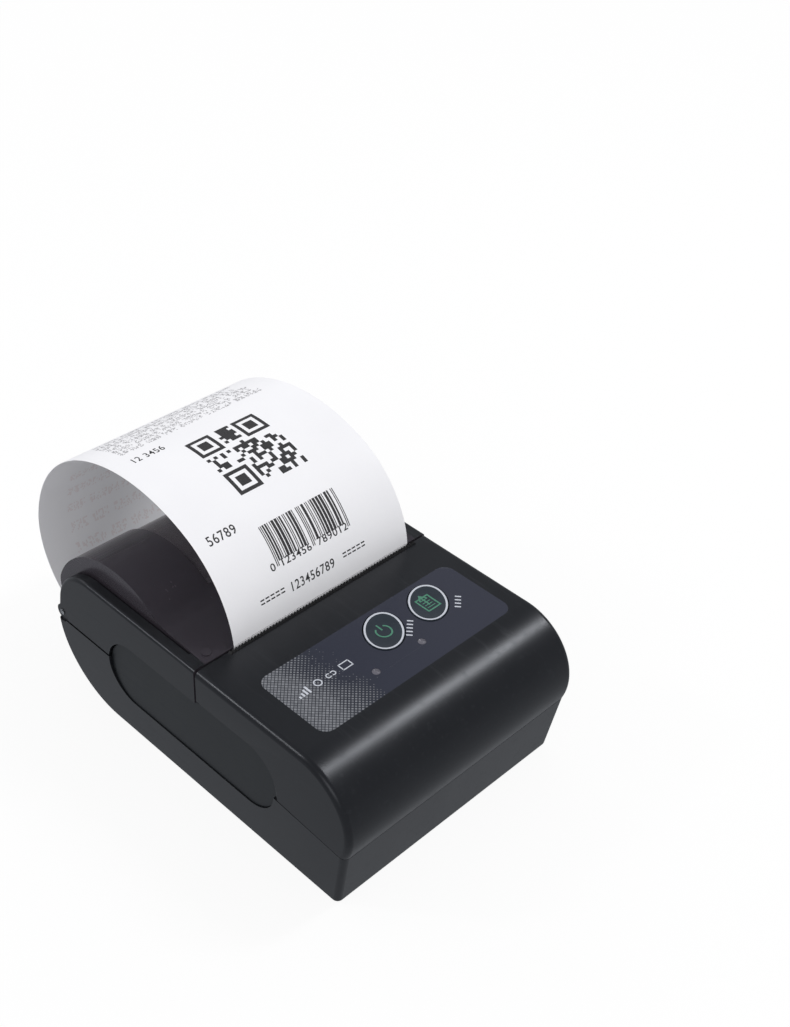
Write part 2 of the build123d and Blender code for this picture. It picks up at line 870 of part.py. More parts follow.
with BuildPart() as roll_cover:
    add(body_form())
    add(below_parting(-skirt_gap), mode=Mode.SUBTRACT)
    add(before_seam(lid_front_y), mode=Mode.SUBTRACT)
    fillet(
        roll_cover.edges().filter_by(
            lambda e: abs(e.center().X) > parting_width / 2 - case_wall
            and e.center().Y > lid_front_y + skirt_gap
            and e.center().Z > rear_parting_height + cheek_edge_radius
        ),
        radius=cheek_edge_radius,
    )
    add(cheek_channel(), mode=Mode.SUBTRACT)
    add(dome_form(0, dome_half_width))
    add(cover_cavity(), mode=Mode.SUBTRACT)
    add(below_parting(-skirt_gap), mode=Mode.SUBTRACT)
    for side in (-1, 1):
        add(scoop(side, panel_inside_x - scoop_lap, top_width, margin=skirt_gap), mode=Mode.SUBTRACT)
        add(
            side_disc(
                hinge_point, barrel_radius + hinge_room,
                min(side * (ear_inside - ear_gap), side * far),
                max(side * (ear_inside - ear_gap), side * far),
            ),
            mode=Mode.SUBTRACT,
        )
    add(side_disc(hinge_point, barrel_radius, ear_gap - ear_inside, ear_inside - ear_gap))
    add(side_disc(hinge_point, hinge_pin_radius + hinge_fit, -far, far), mode=Mode.SUBTRACT)
    add(window_band(window_inner, dome_radius + cover_wall, window_half_width + window_gap, window_gap),
        mode=Mode.SUBTRACT)
    add(window_band(window_inner - dome_wall, window_outer, window_half_width - window_ledge, -window_ledge),
        mode=Mode.SUBTRACT)
    screw_end = apron_underside + holder_screw_length - holder_plate + screw_fit
    add(upright(holder_spots, small_screw_radius + screw_fit, apron_underside, screw_end), mode=Mode.SUBTRACT)
    pip_x = pip_inset - top_width / 2
    add(upright([(pip_x, pip_y)], pip_radius, top_height - pip_height, top_height + pip_height))
save(roll_cover.part, "roll_cover")

save(window_band(window_inner, window_outer, window_half_width, 0), "cover_window")

save(side_disc(hinge_point, hinge_pin_radius, -hinge_pin_reach, hinge_pin_reach), "hinge_pin")


# Paper: the roll on its core, the web up to the tear bar, and the receipt beyond it
roll_radius = roll_diameter / 2


def x_tube(centre, outer, inner, x_low, x_high):
    # A tube along X
    with BuildPart() as tube:
        with BuildSketch(Plane.YZ.offset(x_low)):
            with Locations(centre):
                Circle(outer)
                Circle(inner, mode=Mode.SUBTRACT)
        extrude(amount=x_high - x_low)
    return tube.part


save(x_tube(roll_centre, roll_radius, core_diameter / 2 + core_gap, paper_left, paper_right), "paper_roll")
save(x_tube(roll_centre, core_diameter / 2, core_bore / 2, paper_left, paper_right), "roll_core")

web_platen_radius = platen_radius + platen_gap + paper_thickness / 2
web_roll_radius = roll_radius + roll_web_gap + paper_thickness / 2
to_platen = (platen_centre[0] - roll_centre[0], platen_centre[1] - roll_centre[1])
web_normal = degrees(
    atan2(to_platen[1], to_platen[0]) + acos((web_roll_radius - web_platen_radius) / hypot(*to_platen))
) % 360
web_start = along(roll_centre, web_roll_radius, web_normal)
web_meets = along(platen_centre, web_platen_radius, web_normal)
web_pieces = [
    (None, hypot(web_meets[0] - web_start[0], web_meets[1] - web_start[1])),
    (web_platen_radius, 180 - web_normal),
    (None, teeth_top - receipt_gap - platen_height),
]
web_heading = web_normal - 90
save(ribbon(web_start, web_heading, web_pieces, paper_thickness, paper_left, paper_right), "paper_web")

receipt_turns = [(radius, -angle) for radius, angle in receipt_arcs]
receipt_strip = ribbon(
    receipt_pivot, receipt_start_angle, receipt_turns, receipt_thickness, paper_left, paper_right
)
save(receipt_strip, "printed_receipt")


def guide_point(offset, height):
    # Where a line parallel to the web, at an offset below it, comes to a height
    start = along(platen_centre, web_platen_radius + offset, web_normal)
    run = (height - start[1]) / sin(radians(web_heading))
    return along(start, run, web_heading)


guide_outline = [
    guide_point(guide_gap, guide_top),
    guide_point(guide_gap, case_wall),
    guide_point(guide_gap + guide_wall, case_wall),
    guide_point(guide_gap + guide_wall, guide_top),
]
save(
    side_block(guide_outline, platen_left + guide_side_gap, platen_right - guide_side_gap), "paper_guide"
)

# Platen: rubber on a steel shaft, in two bushings held by the cover
bushing_left_x = left_plate_outside
bushing_right_x = right_plate_outside
gear_inner_x = left_plate_outside - gear_gap - gear_width
shaft_left_x = gear_inner_x - shaft_overhang

save(x_tube(platen_centre, platen_radius, shaft_radius, platen_left, platen_right), "platen_roller")
save(side_disc(platen_centre, shaft_radius, shaft_left_x, bushing_right_x), "platen_shaft")
bushing_bore = shaft_radius + shaft_fit
save(
    x_tube(platen_centre, bushing_radius, bushing_bore, bushing_left_x, platen_left - bushing_gap),
    "platen_bushing_left",
)
save(
    x_tube(platen_centre, bushing_radius, bushing_bore, platen_right + bushing_gap, bushing_right_x),
    "platen_bushing_right",
)

arm_spans = [(left_arm_x - arm_wall, left_arm_x), (right_arm_x, right_arm_x + arm_wall)]
holder_low = apron_underside - holder_plate


def holder_arm(x_low, x_high):
    # A flat arm from the bushing up to the cover
    with BuildPart() as arm:
        with BuildSketch(Plane.YZ.offset(x_low)):
            with Locations(platen_centre):
                Circle(arm_radius)
            with BuildLine():
                Polyline(
                    (platen_centre[0] - arm_radius / 2, platen_height + arm_radius * 0.86),
                    (holder_front_y, apron_underside),
                    (holder_rear_y, apron_underside),
                    (holder_rear_y, holder_low),
                    (platen_centre[0], platen_height - arm_radius),
                    close=True,
                )
            make_face()
            with Locations(platen_centre):
                Circle(bushing_radius, mode=Mode.SUBTRACT)
        extrude(amount=x_high - x_low)
    return arm.part


with BuildPart() as platen_holder:
    for span in arm_spans:
        add(holder_arm(*span))
    beam = [(holder_front_y, holder_low), (holder_rear_y, holder_low)]
    beam += [(holder_rear_y, apron_underside), (holder_front_y, apron_underside)]
    add(side_block(beam, arm_spans[0][0], arm_spans[1][1]))
    add(upright(holder_spots, small_screw_radius + screw_fit, 0, far), mode=Mode.SUBTRACT)
save(platen_holder.part, "platen_holder")
save(
    screws(holder_spots, holder_low, small_screw_radius, small_screw_head, small_screw_head_wall,
           holder_screw_length),
    "holder_screws",
)

# Print head: a ceramic strip on an aluminium block, sprung about a pin below
ceramic_face_y = seam_y - paper_thickness / 2 - head_gap - heater_proud
sink_rear_y = ceramic_face_y - ceramic_wall
sink_front_y = sink_rear_y - sink_wall
head_pin_centre = ((sink_rear_y + sink_front_y) / 2, head_pin_height)
head_left = platen_left + head_side_gap
head_right = platen_right - head_side_gap

with BuildPart() as head_substrate:
    face = [(sink_rear_y, ceramic_low), (ceramic_face_y, ceramic_low)]
    face += [(ceramic_face_y, driver_low), (ceramic_face_y + driver_proud, driver_low)]
    face += [(ceramic_face_y + driver_proud, driver_high), (ceramic_face_y, driver_high)]
    face += [(ceramic_face_y, platen_height - heater_width), (ceramic_face_y + heater_proud, platen_height)]
    face += [(ceramic_face_y, platen_height + heater_width), (ceramic_face_y, ceramic_high)]
    face += [(sink_rear_y, ceramic_high)]
    add(side_block(face, head_left, head_right))
save(head_substrate.part, "head_substrate")

with BuildPart() as head_sink:
    block = [(sink_front_y, sink_low), (sink_rear_y, sink_low)]
    block += [(sink_rear_y, sink_high), (sink_front_y, sink_high)]
    add(side_block(block, head_left, head_right))
    add(side_disc(head_pin_centre, head_pin_radius + head_pin_fit, -far, far), mode=Mode.SUBTRACT)
save(head_sink.part, "head_sink")

with BuildPart() as head_pin:
    add(side_disc(head_pin_centre, head_pin_radius, left_plate_outside, right_plate_outside))
    head_x = left_plate_outside - gear_gap / 2
    add(side_disc(head_pin_centre, head_pin_radius + pin_head, head_x, left_plate_outside))
save(head_pin.part, "head_pin")

# Mechanism frame: two side plates, a front plate and a foot, bent from one sheet
frame_rear_of_front_y = frame_front_y + frame_wall
notch_radius = bushing_radius + notch_gap
lift_direction = degrees(atan2(hinge_y - platen_centre[0], hinge_height - platen_height)) % 180
motor_ears = [
    along(pinion_centre, motor_ear_reach, motor_ear_lean),
    along(pinion_centre, motor_ear_reach, motor_ear_lean + 180),
]


def frame_plate(x_low, x_high):
    # A side plate with the open notch that its bushing drops into
    notch_end = along(platen_centre, 2 * platen_radius, lift_direction)
    with BuildPart() as plate:
        outline = [(frame_front_y, frame_low), (frame_rear_y, frame_low)]
        outline += [(frame_rear_y, frame_high), (platen_centre[0] - notch_radius - frame_cheek, frame_high)]
        outline += [(frame_front_y, frame_front_high)]
        add(side_block(outline, x_low, x_high))
        side_a = along(platen_centre, notch_radius, lift_direction + 90)
        side_b = along(platen_centre, notch_radius, lift_direction - 90)
        end_a = along(notch_end, notch_radius, lift_direction + 90)
        end_b = along(notch_end, notch_radius, lift_direction - 90)
        add(side_block([side_a, side_b, end_b, end_a], x_low, x_high), mode=Mode.SUBTRACT)
        add(side_disc(platen_centre, notch_radius, x_low, x_high), mode=Mode.SUBTRACT)
        add(side_disc(head_pin_centre, head_pin_radius, x_low, x_high), mode=Mode.SUBTRACT)
    return plate.part


with BuildPart() as mechanism_frame:
    add(frame_plate(left_plate_outside, left_plate_x))
    add(frame_plate(right_plate_x, right_plate_outside))
    foot = [(frame_front_y, frame_low), (frame_front_y + foot_depth, frame_low)]
    foot += [(frame_front_y + foot_depth, frame_low + frame_wall)]
    foot += [(frame_rear_of_front_y, frame_low + frame_wall)]
    foot += [(frame_rear_of_front_y, frame_front_high), (frame_front_y, frame_front_high)]
    add(side_block(foot, left_plate_outside, right_plate_outside))
    add(side_disc(pinion_centre, motor_boss_radius, left_plate_outside, left_plate_x), mode=Mode.SUBTRACT)
    add(side_disc(idler_centre, idler_pin_radius, left_plate_outside, left_plate_x), mode=Mode.SUBTRACT)
    for ear in motor_ears:
        add(side_disc(ear, small_screw_radius, left_plate_outside, left_plate_x), mode=Mode.SUBTRACT)
    add(upright(frame_spots, small_screw_radius + screw_fit, 0, frame_low + frame_wall), mode=Mode.SUBTRACT)
save(mechanism_frame.part, "mechanism_frame")
save(
    screws(frame_spots, frame_low + frame_wall, small_screw_radius, small_screw_head, small_screw_head_wall,
           small_screw_length, head_up=True),
    "frame_screws",
)


# Gear train: involute teeth, thinned a little so that the pairs run with play
def involute(angle):
    return tan(angle) - angle


def gear_points(centre, teeth, phase):
    # The outline of a gear with the middle of one tooth at the phase, in degrees
    radius = pitch_radius(teeth)
    base = radius * cos(radians(pressure_angle))
    tip = radius + tip_share * gear_module
    root = radius - root_share * gear_module
    half_tooth = (pi * gear_module / 2 - tooth_thinning) / 2 / radius
    widest = half_tooth + involute(radians(pressure_angle))
    flank = [max(base, root), radius, tip]
    angles = [widest - involute(acos(min(1, base / r))) for r in flank]
    points = []
    for index in range(teeth):
        middle = radians(phase) + 2 * pi * index / teeth
        left = [(r, -a) for r, a in zip(flank, angles)]
        if base > root:
            left.insert(0, (root, -angles[0]))
        for r, a in left + [(r, -a) for r, a in reversed(left)]:
            points.append(along(centre, r, degrees(middle + a)))
    return points


def gear_disc(centre, teeth, phase, x_low, width):
    with BuildPart() as gear:
        with BuildSketch(Plane.YZ.offset(x_low)):
            with BuildLine():
                Polyline(*gear_points(centre, teeth, phase), close=True)
            make_face()
        extrude(amount=width)
    return gear.part


def meshing_phase(teeth, phase, direction, other_teeth):
    # The phase of a gear that meets another one in a direction, tooth against gap
    share = (direction - phase) / (360 / teeth)
    return direction + 180 - 360 / other_teeth * (0.5 - share)


idler_phase = meshing_phase(platen_teeth, 0, idler_direction, idler_small_teeth)
pinion_phase = meshing_phase(idler_large_teeth, 0, pinion_direction, pinion_teeth)

with BuildPart() as platen_gear:
    add(gear_disc(platen_centre, platen_teeth, 0, gear_inner_x, gear_width))
    add(side_disc(platen_centre, shaft_radius, -far, far), mode=Mode.SUBTRACT)
save(platen_gear.part, "platen_gear")

with BuildPart() as idler_gear:
    outer_gear_x = outer_layer_x - gear_width
    add(gear_disc(idler_centre, idler_large_teeth, 0, outer_gear_x, gear_width))
    add(gear_disc(idler_centre, idler_small_teeth, idler_phase, outer_layer_x, inner_layer_x - outer_layer_x))
    add(side_disc(idler_centre, idler_pin_radius + gear_bore_fit, -far, far), mode=Mode.SUBTRACT)
save(idler_gear.part, "idler_gear")

with BuildPart() as idler_pin:
    pin_end = outer_gear_x - layer_gap / 2
    add(side_disc(idler_centre, idler_pin_radius, pin_end, left_plate_x))
    add(side_disc(idler_centre, 2 * idler_pin_radius, pin_end - pin_head, pin_end))
save(idler_pin.part, "idler_pin")

# Motor: can, flange with two ears and boss; its shaft turns with the pinion
motor_face_x = left_plate_x + motor_flange
with BuildPart() as motor:
    add(side_disc(pinion_centre, motor_radius, motor_face_x, motor_face_x + motor_length))
    for ear in motor_ears:
        add(side_disc(ear, motor_ear_radius, left_plate_x, motor_face_x))
    across = motor_ear_lean + 90
    strap = [
        along(motor_ears[0], motor_ear_radius, across),
        along(motor_ears[0], -motor_ear_radius, across),
        along(motor_ears[1], -motor_ear_radius, across),
        along(motor_ears[1], motor_ear_radius, across),
    ]
    add(side_block(strap, left_plate_x, motor_face_x))
    add(side_disc(pinion_centre, motor_radius, left_plate_x, motor_face_x))
    add(side_disc(pinion_centre, motor_boss_radius, left_plate_outside, left_plate_x))
    for ear in motor_ears:
        add(side_disc(ear, small_screw_radius, left_plate_x, motor_face_x), mode=Mode.SUBTRACT)
    bore_end = motor_face_x + motor_length / 2
    add(
        side_disc(pinion_centre, motor_shaft_radius + gear_bore_fit, left_plate_outside, bore_end),
        mode=Mode.SUBTRACT,
    )
save(motor.part, "motor")

with BuildPart() as motor_screws:
    for ear in motor_ears:
        add(side_disc(ear, small_screw_radius, left_plate_outside, motor_face_x))
        add(side_disc(ear, motor_ear_radius, motor_face_x, motor_face_x + small_screw_head_wall))
save(motor_screws.part, "motor_screws")

with BuildPart() as motor_pinion:
    add(gear_disc(pinion_centre, pinion_teeth, pinion_phase, outer_gear_x, gear_width))
    add(side_disc(pinion_centre, motor_shaft_radius, outer_gear_x - layer_gap, bore_end - screw_fit))
save(motor_pinion.part, "motor_pinion")

# Head spring and flat cable: both are thin strips bent in the side view
spring_y = frame_rear_of_front_y + spring_thickness / 2
spring_bend = (spring_y, spring_low + spring_straight)
bend_end = along(along(spring_bend, spring_radius, 0), spring_radius, 180 - spring_turn)
spring_reach = (sink_front_y - spring_thickness - bend_end[0]) / sin(radians(spring_turn))
spring_pieces = [(None, spring_straight), (spring_radius, -spring_turn), (None, spring_reach)]
save(
    ribbon((spring_y, spring_low), 90, spring_pieces, spring_thickness, spring_x, spring_x + spring_width),
    "head_spring",
)

plug_front_y = board_rear_y - plug_inset - plug_depth
cable_start = (plug_front_y + plug_depth, board_top + plug_height / 2)
cable_top_run = frame_rear_of_front_y - cable_start[0] + cable_clearance - cable_radius
cable_corner_y = cable_start[0] + cable_top_run + cable_radius
cable_drop = cable_start[1] - cable_radius - head_pin_height - cable_radius
cable_last_run = sink_front_y - head_side_gap - cable_corner_y - cable_radius
cable_pieces = [
    (None, cable_top_run),
    (cable_radius, -90),
    (None, cable_drop),
    (cable_radius, 90),
    (None, cable_last_run),
]
save(ribbon(cable_start, 0, cable_pieces, cable_thickness, -cable_half, cable_half), "head_flex")

# Main board with what stands on it
with BuildPart() as main_board:
    board_depth = board_rear_y - board_front_y
    with BuildSketch(Plane.XY.offset(board_low)):
        with Locations((0, (board_front_y + board_rear_y) / 2)):
            RectangleRounded(2 * board_half_width, board_depth, board_wall)
        with Locations((tongue_reach / 2, socket_y)):
            Rectangle(tongue_reach, 2 * tongue_half)
        with Locations(*board_screws):
            Circle(small_screw_radius + screw_fit, mode=Mode.SUBTRACT)
    extrude(amount=board_wall)
save(main_board.part, "main_board")
save(
    screws(board_screws, board_low, small_screw_radius, small_screw_head, small_screw_head_wall,
           small_screw_length),
    "board_screws",
)


def chip(centre, width, depth, height, z_low, name):
    with BuildPart() as block:
        with BuildSketch(Plane.XY.offset(z_low)):
            with Locations(centre):
                Rectangle(width, depth)
        extrude(amount=height)
    save(block.part, name)


chip(controller_spot, controller_size, controller_size, chip_height, board_low - chip_height, "controller_chip")
chip(radio_spot, radio_width, radio_depth, radio_height, board_top, "radio_module")
chip((0, plug_front_y + plug_depth / 2), 2 * cable_half + plug_inset, plug_depth, plug_height, board_top,
     "flex_connector")

with BuildPart() as key_switches:
    spots = list(key_spots.values())
    with BuildSketch(Plane.XY.offset(board_top)):
        with Locations(*spots):
            Rectangle(switch_size, switch_size)
    extrude(amount=switch_height)
    add(upright(spots, switch_plunger_radius, board_top, board_top + switch_height + switch_plunger))
save(key_switches.part, "key_switches")

with BuildPart() as status_lamps:
    with BuildSketch(Plane.XY.offset(board_top)):
        with Locations(*led_spots):
            Rectangle(lamp_size, lamp_size / 2)
    extrude(amount=lamp_height)
save(status_lamps.part, "status_lamps")

with BuildPart() as charging_socket:
    middle = (socket_y, board_low - socket_height / 2)
    with BuildSketch(Plane.YZ.offset(socket_inner_x)):
        with Locations(middle):
            RectangleRounded(socket_width, socket_height, socket_height / 3)
    extrude(amount=socket_mouth_x - socket_inner_x)
    with BuildSketch(Plane.YZ.offset(socket_mouth_x)):
        with Locations(middle):
            RectangleRounded(socket_width - 2 * socket_wall, socket_height - 2 * socket_wall, socket_height / 4)
    extrude(amount=-socket_pocket, mode=Mode.SUBTRACT)
    with BuildSketch(Plane.YZ.offset(socket_mouth_x - socket_pocket)):
        with Locations(middle):
            Rectangle(socket_width / 2, 2 * socket_wall)
    extrude(amount=socket_pocket - socket_wall)
save(charging_socket.part, "charging_socket")

# Battery, contacts and door
with BuildPart() as battery_pack:
    with BuildSketch(Plane.XY.offset(battery_low)):
        with Locations((0, (battery_front_y + battery_rear_y) / 2)):
            RectangleRounded(2 * battery_half_width, battery_rear_y - battery_front_y, battery_corner)
    extrude(amount=battery_height)
save(battery_pack.part, "battery_pack")

with BuildPart() as battery_contacts:
    # Three fingers on a bar against the rear wall of the bay
    contact_y = bay_rear_y - contact_wall / 2
    with BuildSketch(Plane.XY.offset(battery_low + contact_inset)):
        with Locations(*[(index * contact_pitch, contact_y) for index in (-1, 0, 1)]):
            Rectangle(contact_width, contact_wall)
    extrude(amount=battery_height - contact_inset)
    with BuildSketch(Plane.XY.offset(bay_roof - contact_width)):
        with Locations((0, contact_y)):
            Rectangle(2 * contact_pitch + contact_width, contact_wall)
    extrude(amount=contact_width)
save(battery_contacts.part, "battery_contacts")

with BuildPart() as battery_door:
    door_half = bay_half_width - door_gap
    door_outline = [(bay_front_y + door_gap, door_rise), (door_axis[0], door_rise)]
    door_outline += [(door_axis[0], door_rise + door_wall), (bay_front_y + door_gap, door_rise + door_wall)]
    add(side_block(door_outline, -door_half, door_half))
    add(side_disc(door_axis, door_wall / 2, -door_half, door_half))
    pin_half = bay_half_width + door_pin_reach - door_gap
    add(side_disc(door_axis, door_pin_radius, -pin_half, pin_half))
    with BuildSketch(Plane.XY.offset(door_rise)):
        with Locations((0, bay_front_y + door_gap)):
            Circle(finger_notch_radius)
    extrude(amount=finger_notch_depth, mode=Mode.SUBTRACT)
save(battery_door.part, "battery_door")

save(
    screws(case_posts, case_screw_seat, case_screw_radius, case_screw_head, case_screw_head_wall,
           case_screw_length),
    "case_screws",
)
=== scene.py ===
# Portable receipt printer: finishes, print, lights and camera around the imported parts, in metres
import json
import random
from math import atan2, cos, hypot, pi, radians, sin

import bmesh
import bpy
from mathutils import Matrix, Vector

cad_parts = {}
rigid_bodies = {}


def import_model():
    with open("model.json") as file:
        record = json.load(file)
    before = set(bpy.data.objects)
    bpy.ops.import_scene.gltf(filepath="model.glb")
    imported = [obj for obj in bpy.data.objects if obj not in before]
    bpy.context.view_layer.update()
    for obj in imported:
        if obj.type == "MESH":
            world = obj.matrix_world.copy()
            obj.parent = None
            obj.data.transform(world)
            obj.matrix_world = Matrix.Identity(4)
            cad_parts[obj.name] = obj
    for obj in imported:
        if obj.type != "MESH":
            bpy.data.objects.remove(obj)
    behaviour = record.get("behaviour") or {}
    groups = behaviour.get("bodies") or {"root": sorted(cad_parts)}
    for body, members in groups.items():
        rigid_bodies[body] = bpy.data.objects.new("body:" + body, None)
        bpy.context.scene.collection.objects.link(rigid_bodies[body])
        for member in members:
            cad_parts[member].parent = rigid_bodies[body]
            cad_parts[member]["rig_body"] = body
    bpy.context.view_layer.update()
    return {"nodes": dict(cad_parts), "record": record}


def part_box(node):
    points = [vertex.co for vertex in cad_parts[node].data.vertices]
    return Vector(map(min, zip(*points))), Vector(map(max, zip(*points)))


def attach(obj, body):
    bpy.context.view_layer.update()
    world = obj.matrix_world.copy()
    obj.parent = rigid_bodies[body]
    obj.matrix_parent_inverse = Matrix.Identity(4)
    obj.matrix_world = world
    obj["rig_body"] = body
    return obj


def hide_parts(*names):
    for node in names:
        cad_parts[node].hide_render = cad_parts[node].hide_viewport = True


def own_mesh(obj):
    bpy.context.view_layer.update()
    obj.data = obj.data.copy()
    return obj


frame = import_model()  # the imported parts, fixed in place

mm = 0.001
print("frame loaded:", len(frame["nodes"]), "parts")


# Materials: an expression on signals adds its Math nodes
class Signal:  # one output socket
    def __init__(self, finish, socket):
        self.finish = finish
        self.socket = socket

    def __add__(self, other):
        return self.finish.maths("ADD", self, other)

    def __radd__(self, other):
        return self.finish.maths("ADD", other, self)

    def __sub__(self, other):
        return self.finish.maths("SUBTRACT", self, other)

    def __rsub__(self, other):
        return self.finish.maths("SUBTRACT", other, self)

    def __mul__(self, other):
        return self.finish.maths("MULTIPLY", self, other)

    def __rmul__(self, other):
        return self.finish.maths("MULTIPLY", other, self)

    def __truediv__(self, other):
        return self.finish.maths("DIVIDE", self, other)

    def __gt__(self, other):
        return self.finish.maths("GREATER_THAN", self, other)

    def __lt__(self, other):
        return self.finish.maths("LESS_THAN", self, other)


class Finish:
    def __init__(self, name, constants):
        self.material = bpy.data.materials.new(name)
        self.material.use_nodes = True
        self.tree = self.material.node_tree
        self.tree.nodes.clear()
        self.shader = self.tree.nodes.new("ShaderNodeBsdfPrincipled")
        self.output = self.tree.nodes.new("ShaderNodeOutputMaterial")
        self.tree.links.new(self.shader.outputs[0], self.output.inputs[0])
        self.drive(constants)

    def feed(self, socket, value):
        if isinstance(value, Signal):
            self.tree.links.new(value.socket, socket)
        else:
            socket.default_value = value

    def drive(self, values):  # what the surface shader gets
        for name, value in values.items():
            self.feed(self.shader.inputs[name], value)

    def node(self, kind, settings=None, inputs=None, result=0):
        made = self.tree.nodes.new("ShaderNode" + kind)
        for key, value in (settings or {}).items():
            setattr(made, key, value)
        for key, value in (inputs or {}).items():
            self.feed(made.inputs[key], value)
        return Signal(self, made.outputs[result])

    def maths(self, operation, first, second=0.0):
        return self.node("Math", {"operation": operation}, {0: first, 1: second})

    def blend(self, factor, first, second):  # colours
        return self.node("Mix", {"data_type": "RGBA"}, {0: factor, 6: first, 7: second}, 2)

    def place(self, turn=0.0, stretch=(1, 1, 1), centre=(0, 0, 0)):  # where a point lies on the object
        here = self.node("TexCoord", result="Object")
        if turn == 0 and stretch == (1, 1, 1) and centre == (0, 0, 0):
            return here
        moved = self.node("VectorMath", {"operation": "SUBTRACT"}, {0: here, 1: centre})
        return self.node("Mapping", {}, {0: moved, "Rotation": (0, 0, turn), "Scale": stretch})

    def parts(self, vector):  # x, y and z as three signals
        split = self.node("SeparateXYZ", {}, {0: vector}).socket.node
        return [Signal(self, output) for output in split.outputs]

    def noise(self, size, detail=2.0, rough=0.5, vector=None):  # size of the marks in metres
        values = {"Vector": vector or self.place(), "Scale": 1 / size, "Detail": detail, "Roughness": rough}
        return self.node("TexNoise", {}, values)

    def between(self, value, low, high, first=0.0, last=1.0):  # a soft step from one value to another
        settings = {"interpolation_type": "SMOOTHSTEP", "clamp": True}
        return self.node("MapRange", settings, {0: value, 1: low, 2: high, 3: first, 4: last})

    def relief(self, height, depth, strength=1.0):  # depth in metres
        return self.node("Bump", {}, {"Height": height, "Distance": depth, "Strength": strength})


def shade(red, green, blue):  # a colour as it is seen on a screen, 0 to 255
    linear = []
    for part in (red, green, blue):
        value = part / 255
        linear.append(value / 12.92 if value <= 0.04045 else ((value + 0.055) / 1.055) ** 2.4)
    return (*linear, 1.0)


shellLook = {
    "constants": {"Specular IOR Level": 0.37, "Specular Tint": (0.9, 0.93, 1.0, 1.0)},
    "dark": shade(19, 20, 23),
    "light": shade(25, 26, 29),
    "worn": shade(46, 48, 52),
    "rub": 0.16,
    "rubFrom": 0.56,  # how strong a streak has to be to show as rubbed
    "rubFull": 0.72,
    "rough": 0.3,
    "roughVaries": 0.08,
    "roughRub": 0.05,
    "cloudSize": 12 * mm,
    "streakSize": 1.1 * mm,
    "streakTurn": 0.3,
    "streakStretch": (1, 0.06, 1),
    "grainSize": 0.22 * mm,
    "grainDepth": 0.0035 * mm,
}
coverLook = dict(
    shellLook,
    constants={
        "Specular IOR Level": 0.3, "Specular Tint": (0.9, 0.86, 1.0, 1.0),
        "Coat Weight": 0.15, "Coat Roughness": 0.1,
    },
    dark=shade(45, 42, 47),
    light=shade(53, 49, 55),
    rough=0.22,
    roughVaries=0.06,
    grainDepth=0.0015 * mm,
)
# Grip pads: a rougher finish, and a darker colour that is painted shade for the sunken pads
gripShadeLook = dict(shellLook, dark=shade(15, 18, 20), light=shade(20, 23, 25), rough=0.4)


def mouldedPlastic(name, look):
    finish = Finish(name, look["constants"])
    cloud = finish.noise(look["cloudSize"], 3.0)
    grain = finish.noise(look["grainSize"], 2.0, 0.6)
    along = finish.place(look["streakTurn"], look["streakStretch"])
    streak = finish.noise(look["streakSize"], 2.0, 0.6, along)
    rubbed = finish.between(streak, look["rubFrom"], look["rubFull"])
    colour = finish.blend(cloud, look["dark"], look["light"])
    colour = finish.blend(rubbed * look["rub"], colour, look["worn"])
    rough = look["rough"] + (cloud - 0.5) * look["roughVaries"] + rubbed * look["roughRub"]
    finish.drive({"Base Color": colour, "Roughness": rough})
    finish.drive({"Normal": finish.relief(grain, look["grainDepth"])})
    return finish.material


windowLook = {
    "constants": {"Transmission Weight": 0.5, "IOR": 1.49, "Specular IOR Level": 0.5},
    "dark": shade(66, 61, 67),
    "light": shade(104, 97, 104),
    "dust": shade(120, 116, 114),
    "dustSize": 0.25 * mm,
    "dustFrom": 0.66,
    "dustFull": 0.74,
    "dustShare": 0.25,
    "rough": 0.09,
    "roughDust": 0.2,
    "waveSize": 9 * mm,
    "waveDepth": 0.03 * mm,
}


def smokyWindow(look):
    finish = Finish("smokyWindow", look["constants"])
    wave = finish.noise(look["waveSize"], 1.0)
    dust = finish.between(finish.noise(look["dustSize"], 3.0), look["dustFrom"], look["dustFull"])
    colour = finish.blend(wave, look["dark"], look["light"])
    colour = finish.blend(dust * look["dustShare"], colour, look["dust"])
    finish.drive({"Base Color": colour, "Roughness": look["rough"] + dust * look["roughDust"]})
    finish.drive({"Normal": finish.relief(wave, look["waveDepth"])})
    return finish.material


labelLook = {
    "constants": {"Specular IOR Level": 0.3, "Coat Weight": 0.1, "Coat Roughness": 0.1},
    "centre": (1.4 * mm, -25.7 * mm, 0.0),
    "pitch": 0.78 * mm,
    "turn": radians(45),
    "solidTo": -25 * mm,  # the halftone is full up to here and gone by the next
    "fadedBy": -8.5 * mm,
    "slant": 0.12,
    "ragged": 9 * mm,
    "raggedSize": 7 * mm,
    "leastReach": 0.1,  # half width of a dot, in cells
    "reachGrows": 0.29,
    "dotPale": 0.45,  # how strongly a dot prints, by chance and by how full the halftone is
    "dotChance": 0.35,
    "dotFull": 0.2,
    "dotCount": 3,  # dots go missing where the halftone is less than a third full
    "groundShare": 0.8,
    "slate": shade(40, 43, 57),
    "slateFar": shade(46, 48, 61),
    "slateFrom": -30 * mm,
    "slateTo": 34 * mm,
    "ground": shade(38, 41, 46),
    "dot": shade(126, 128, 134),
    "rough": 0.3,
    "roughVaries": 0.1,
    "grainSize": 0.12 * mm,
    "grainDepth": 0.004 * mm,
}


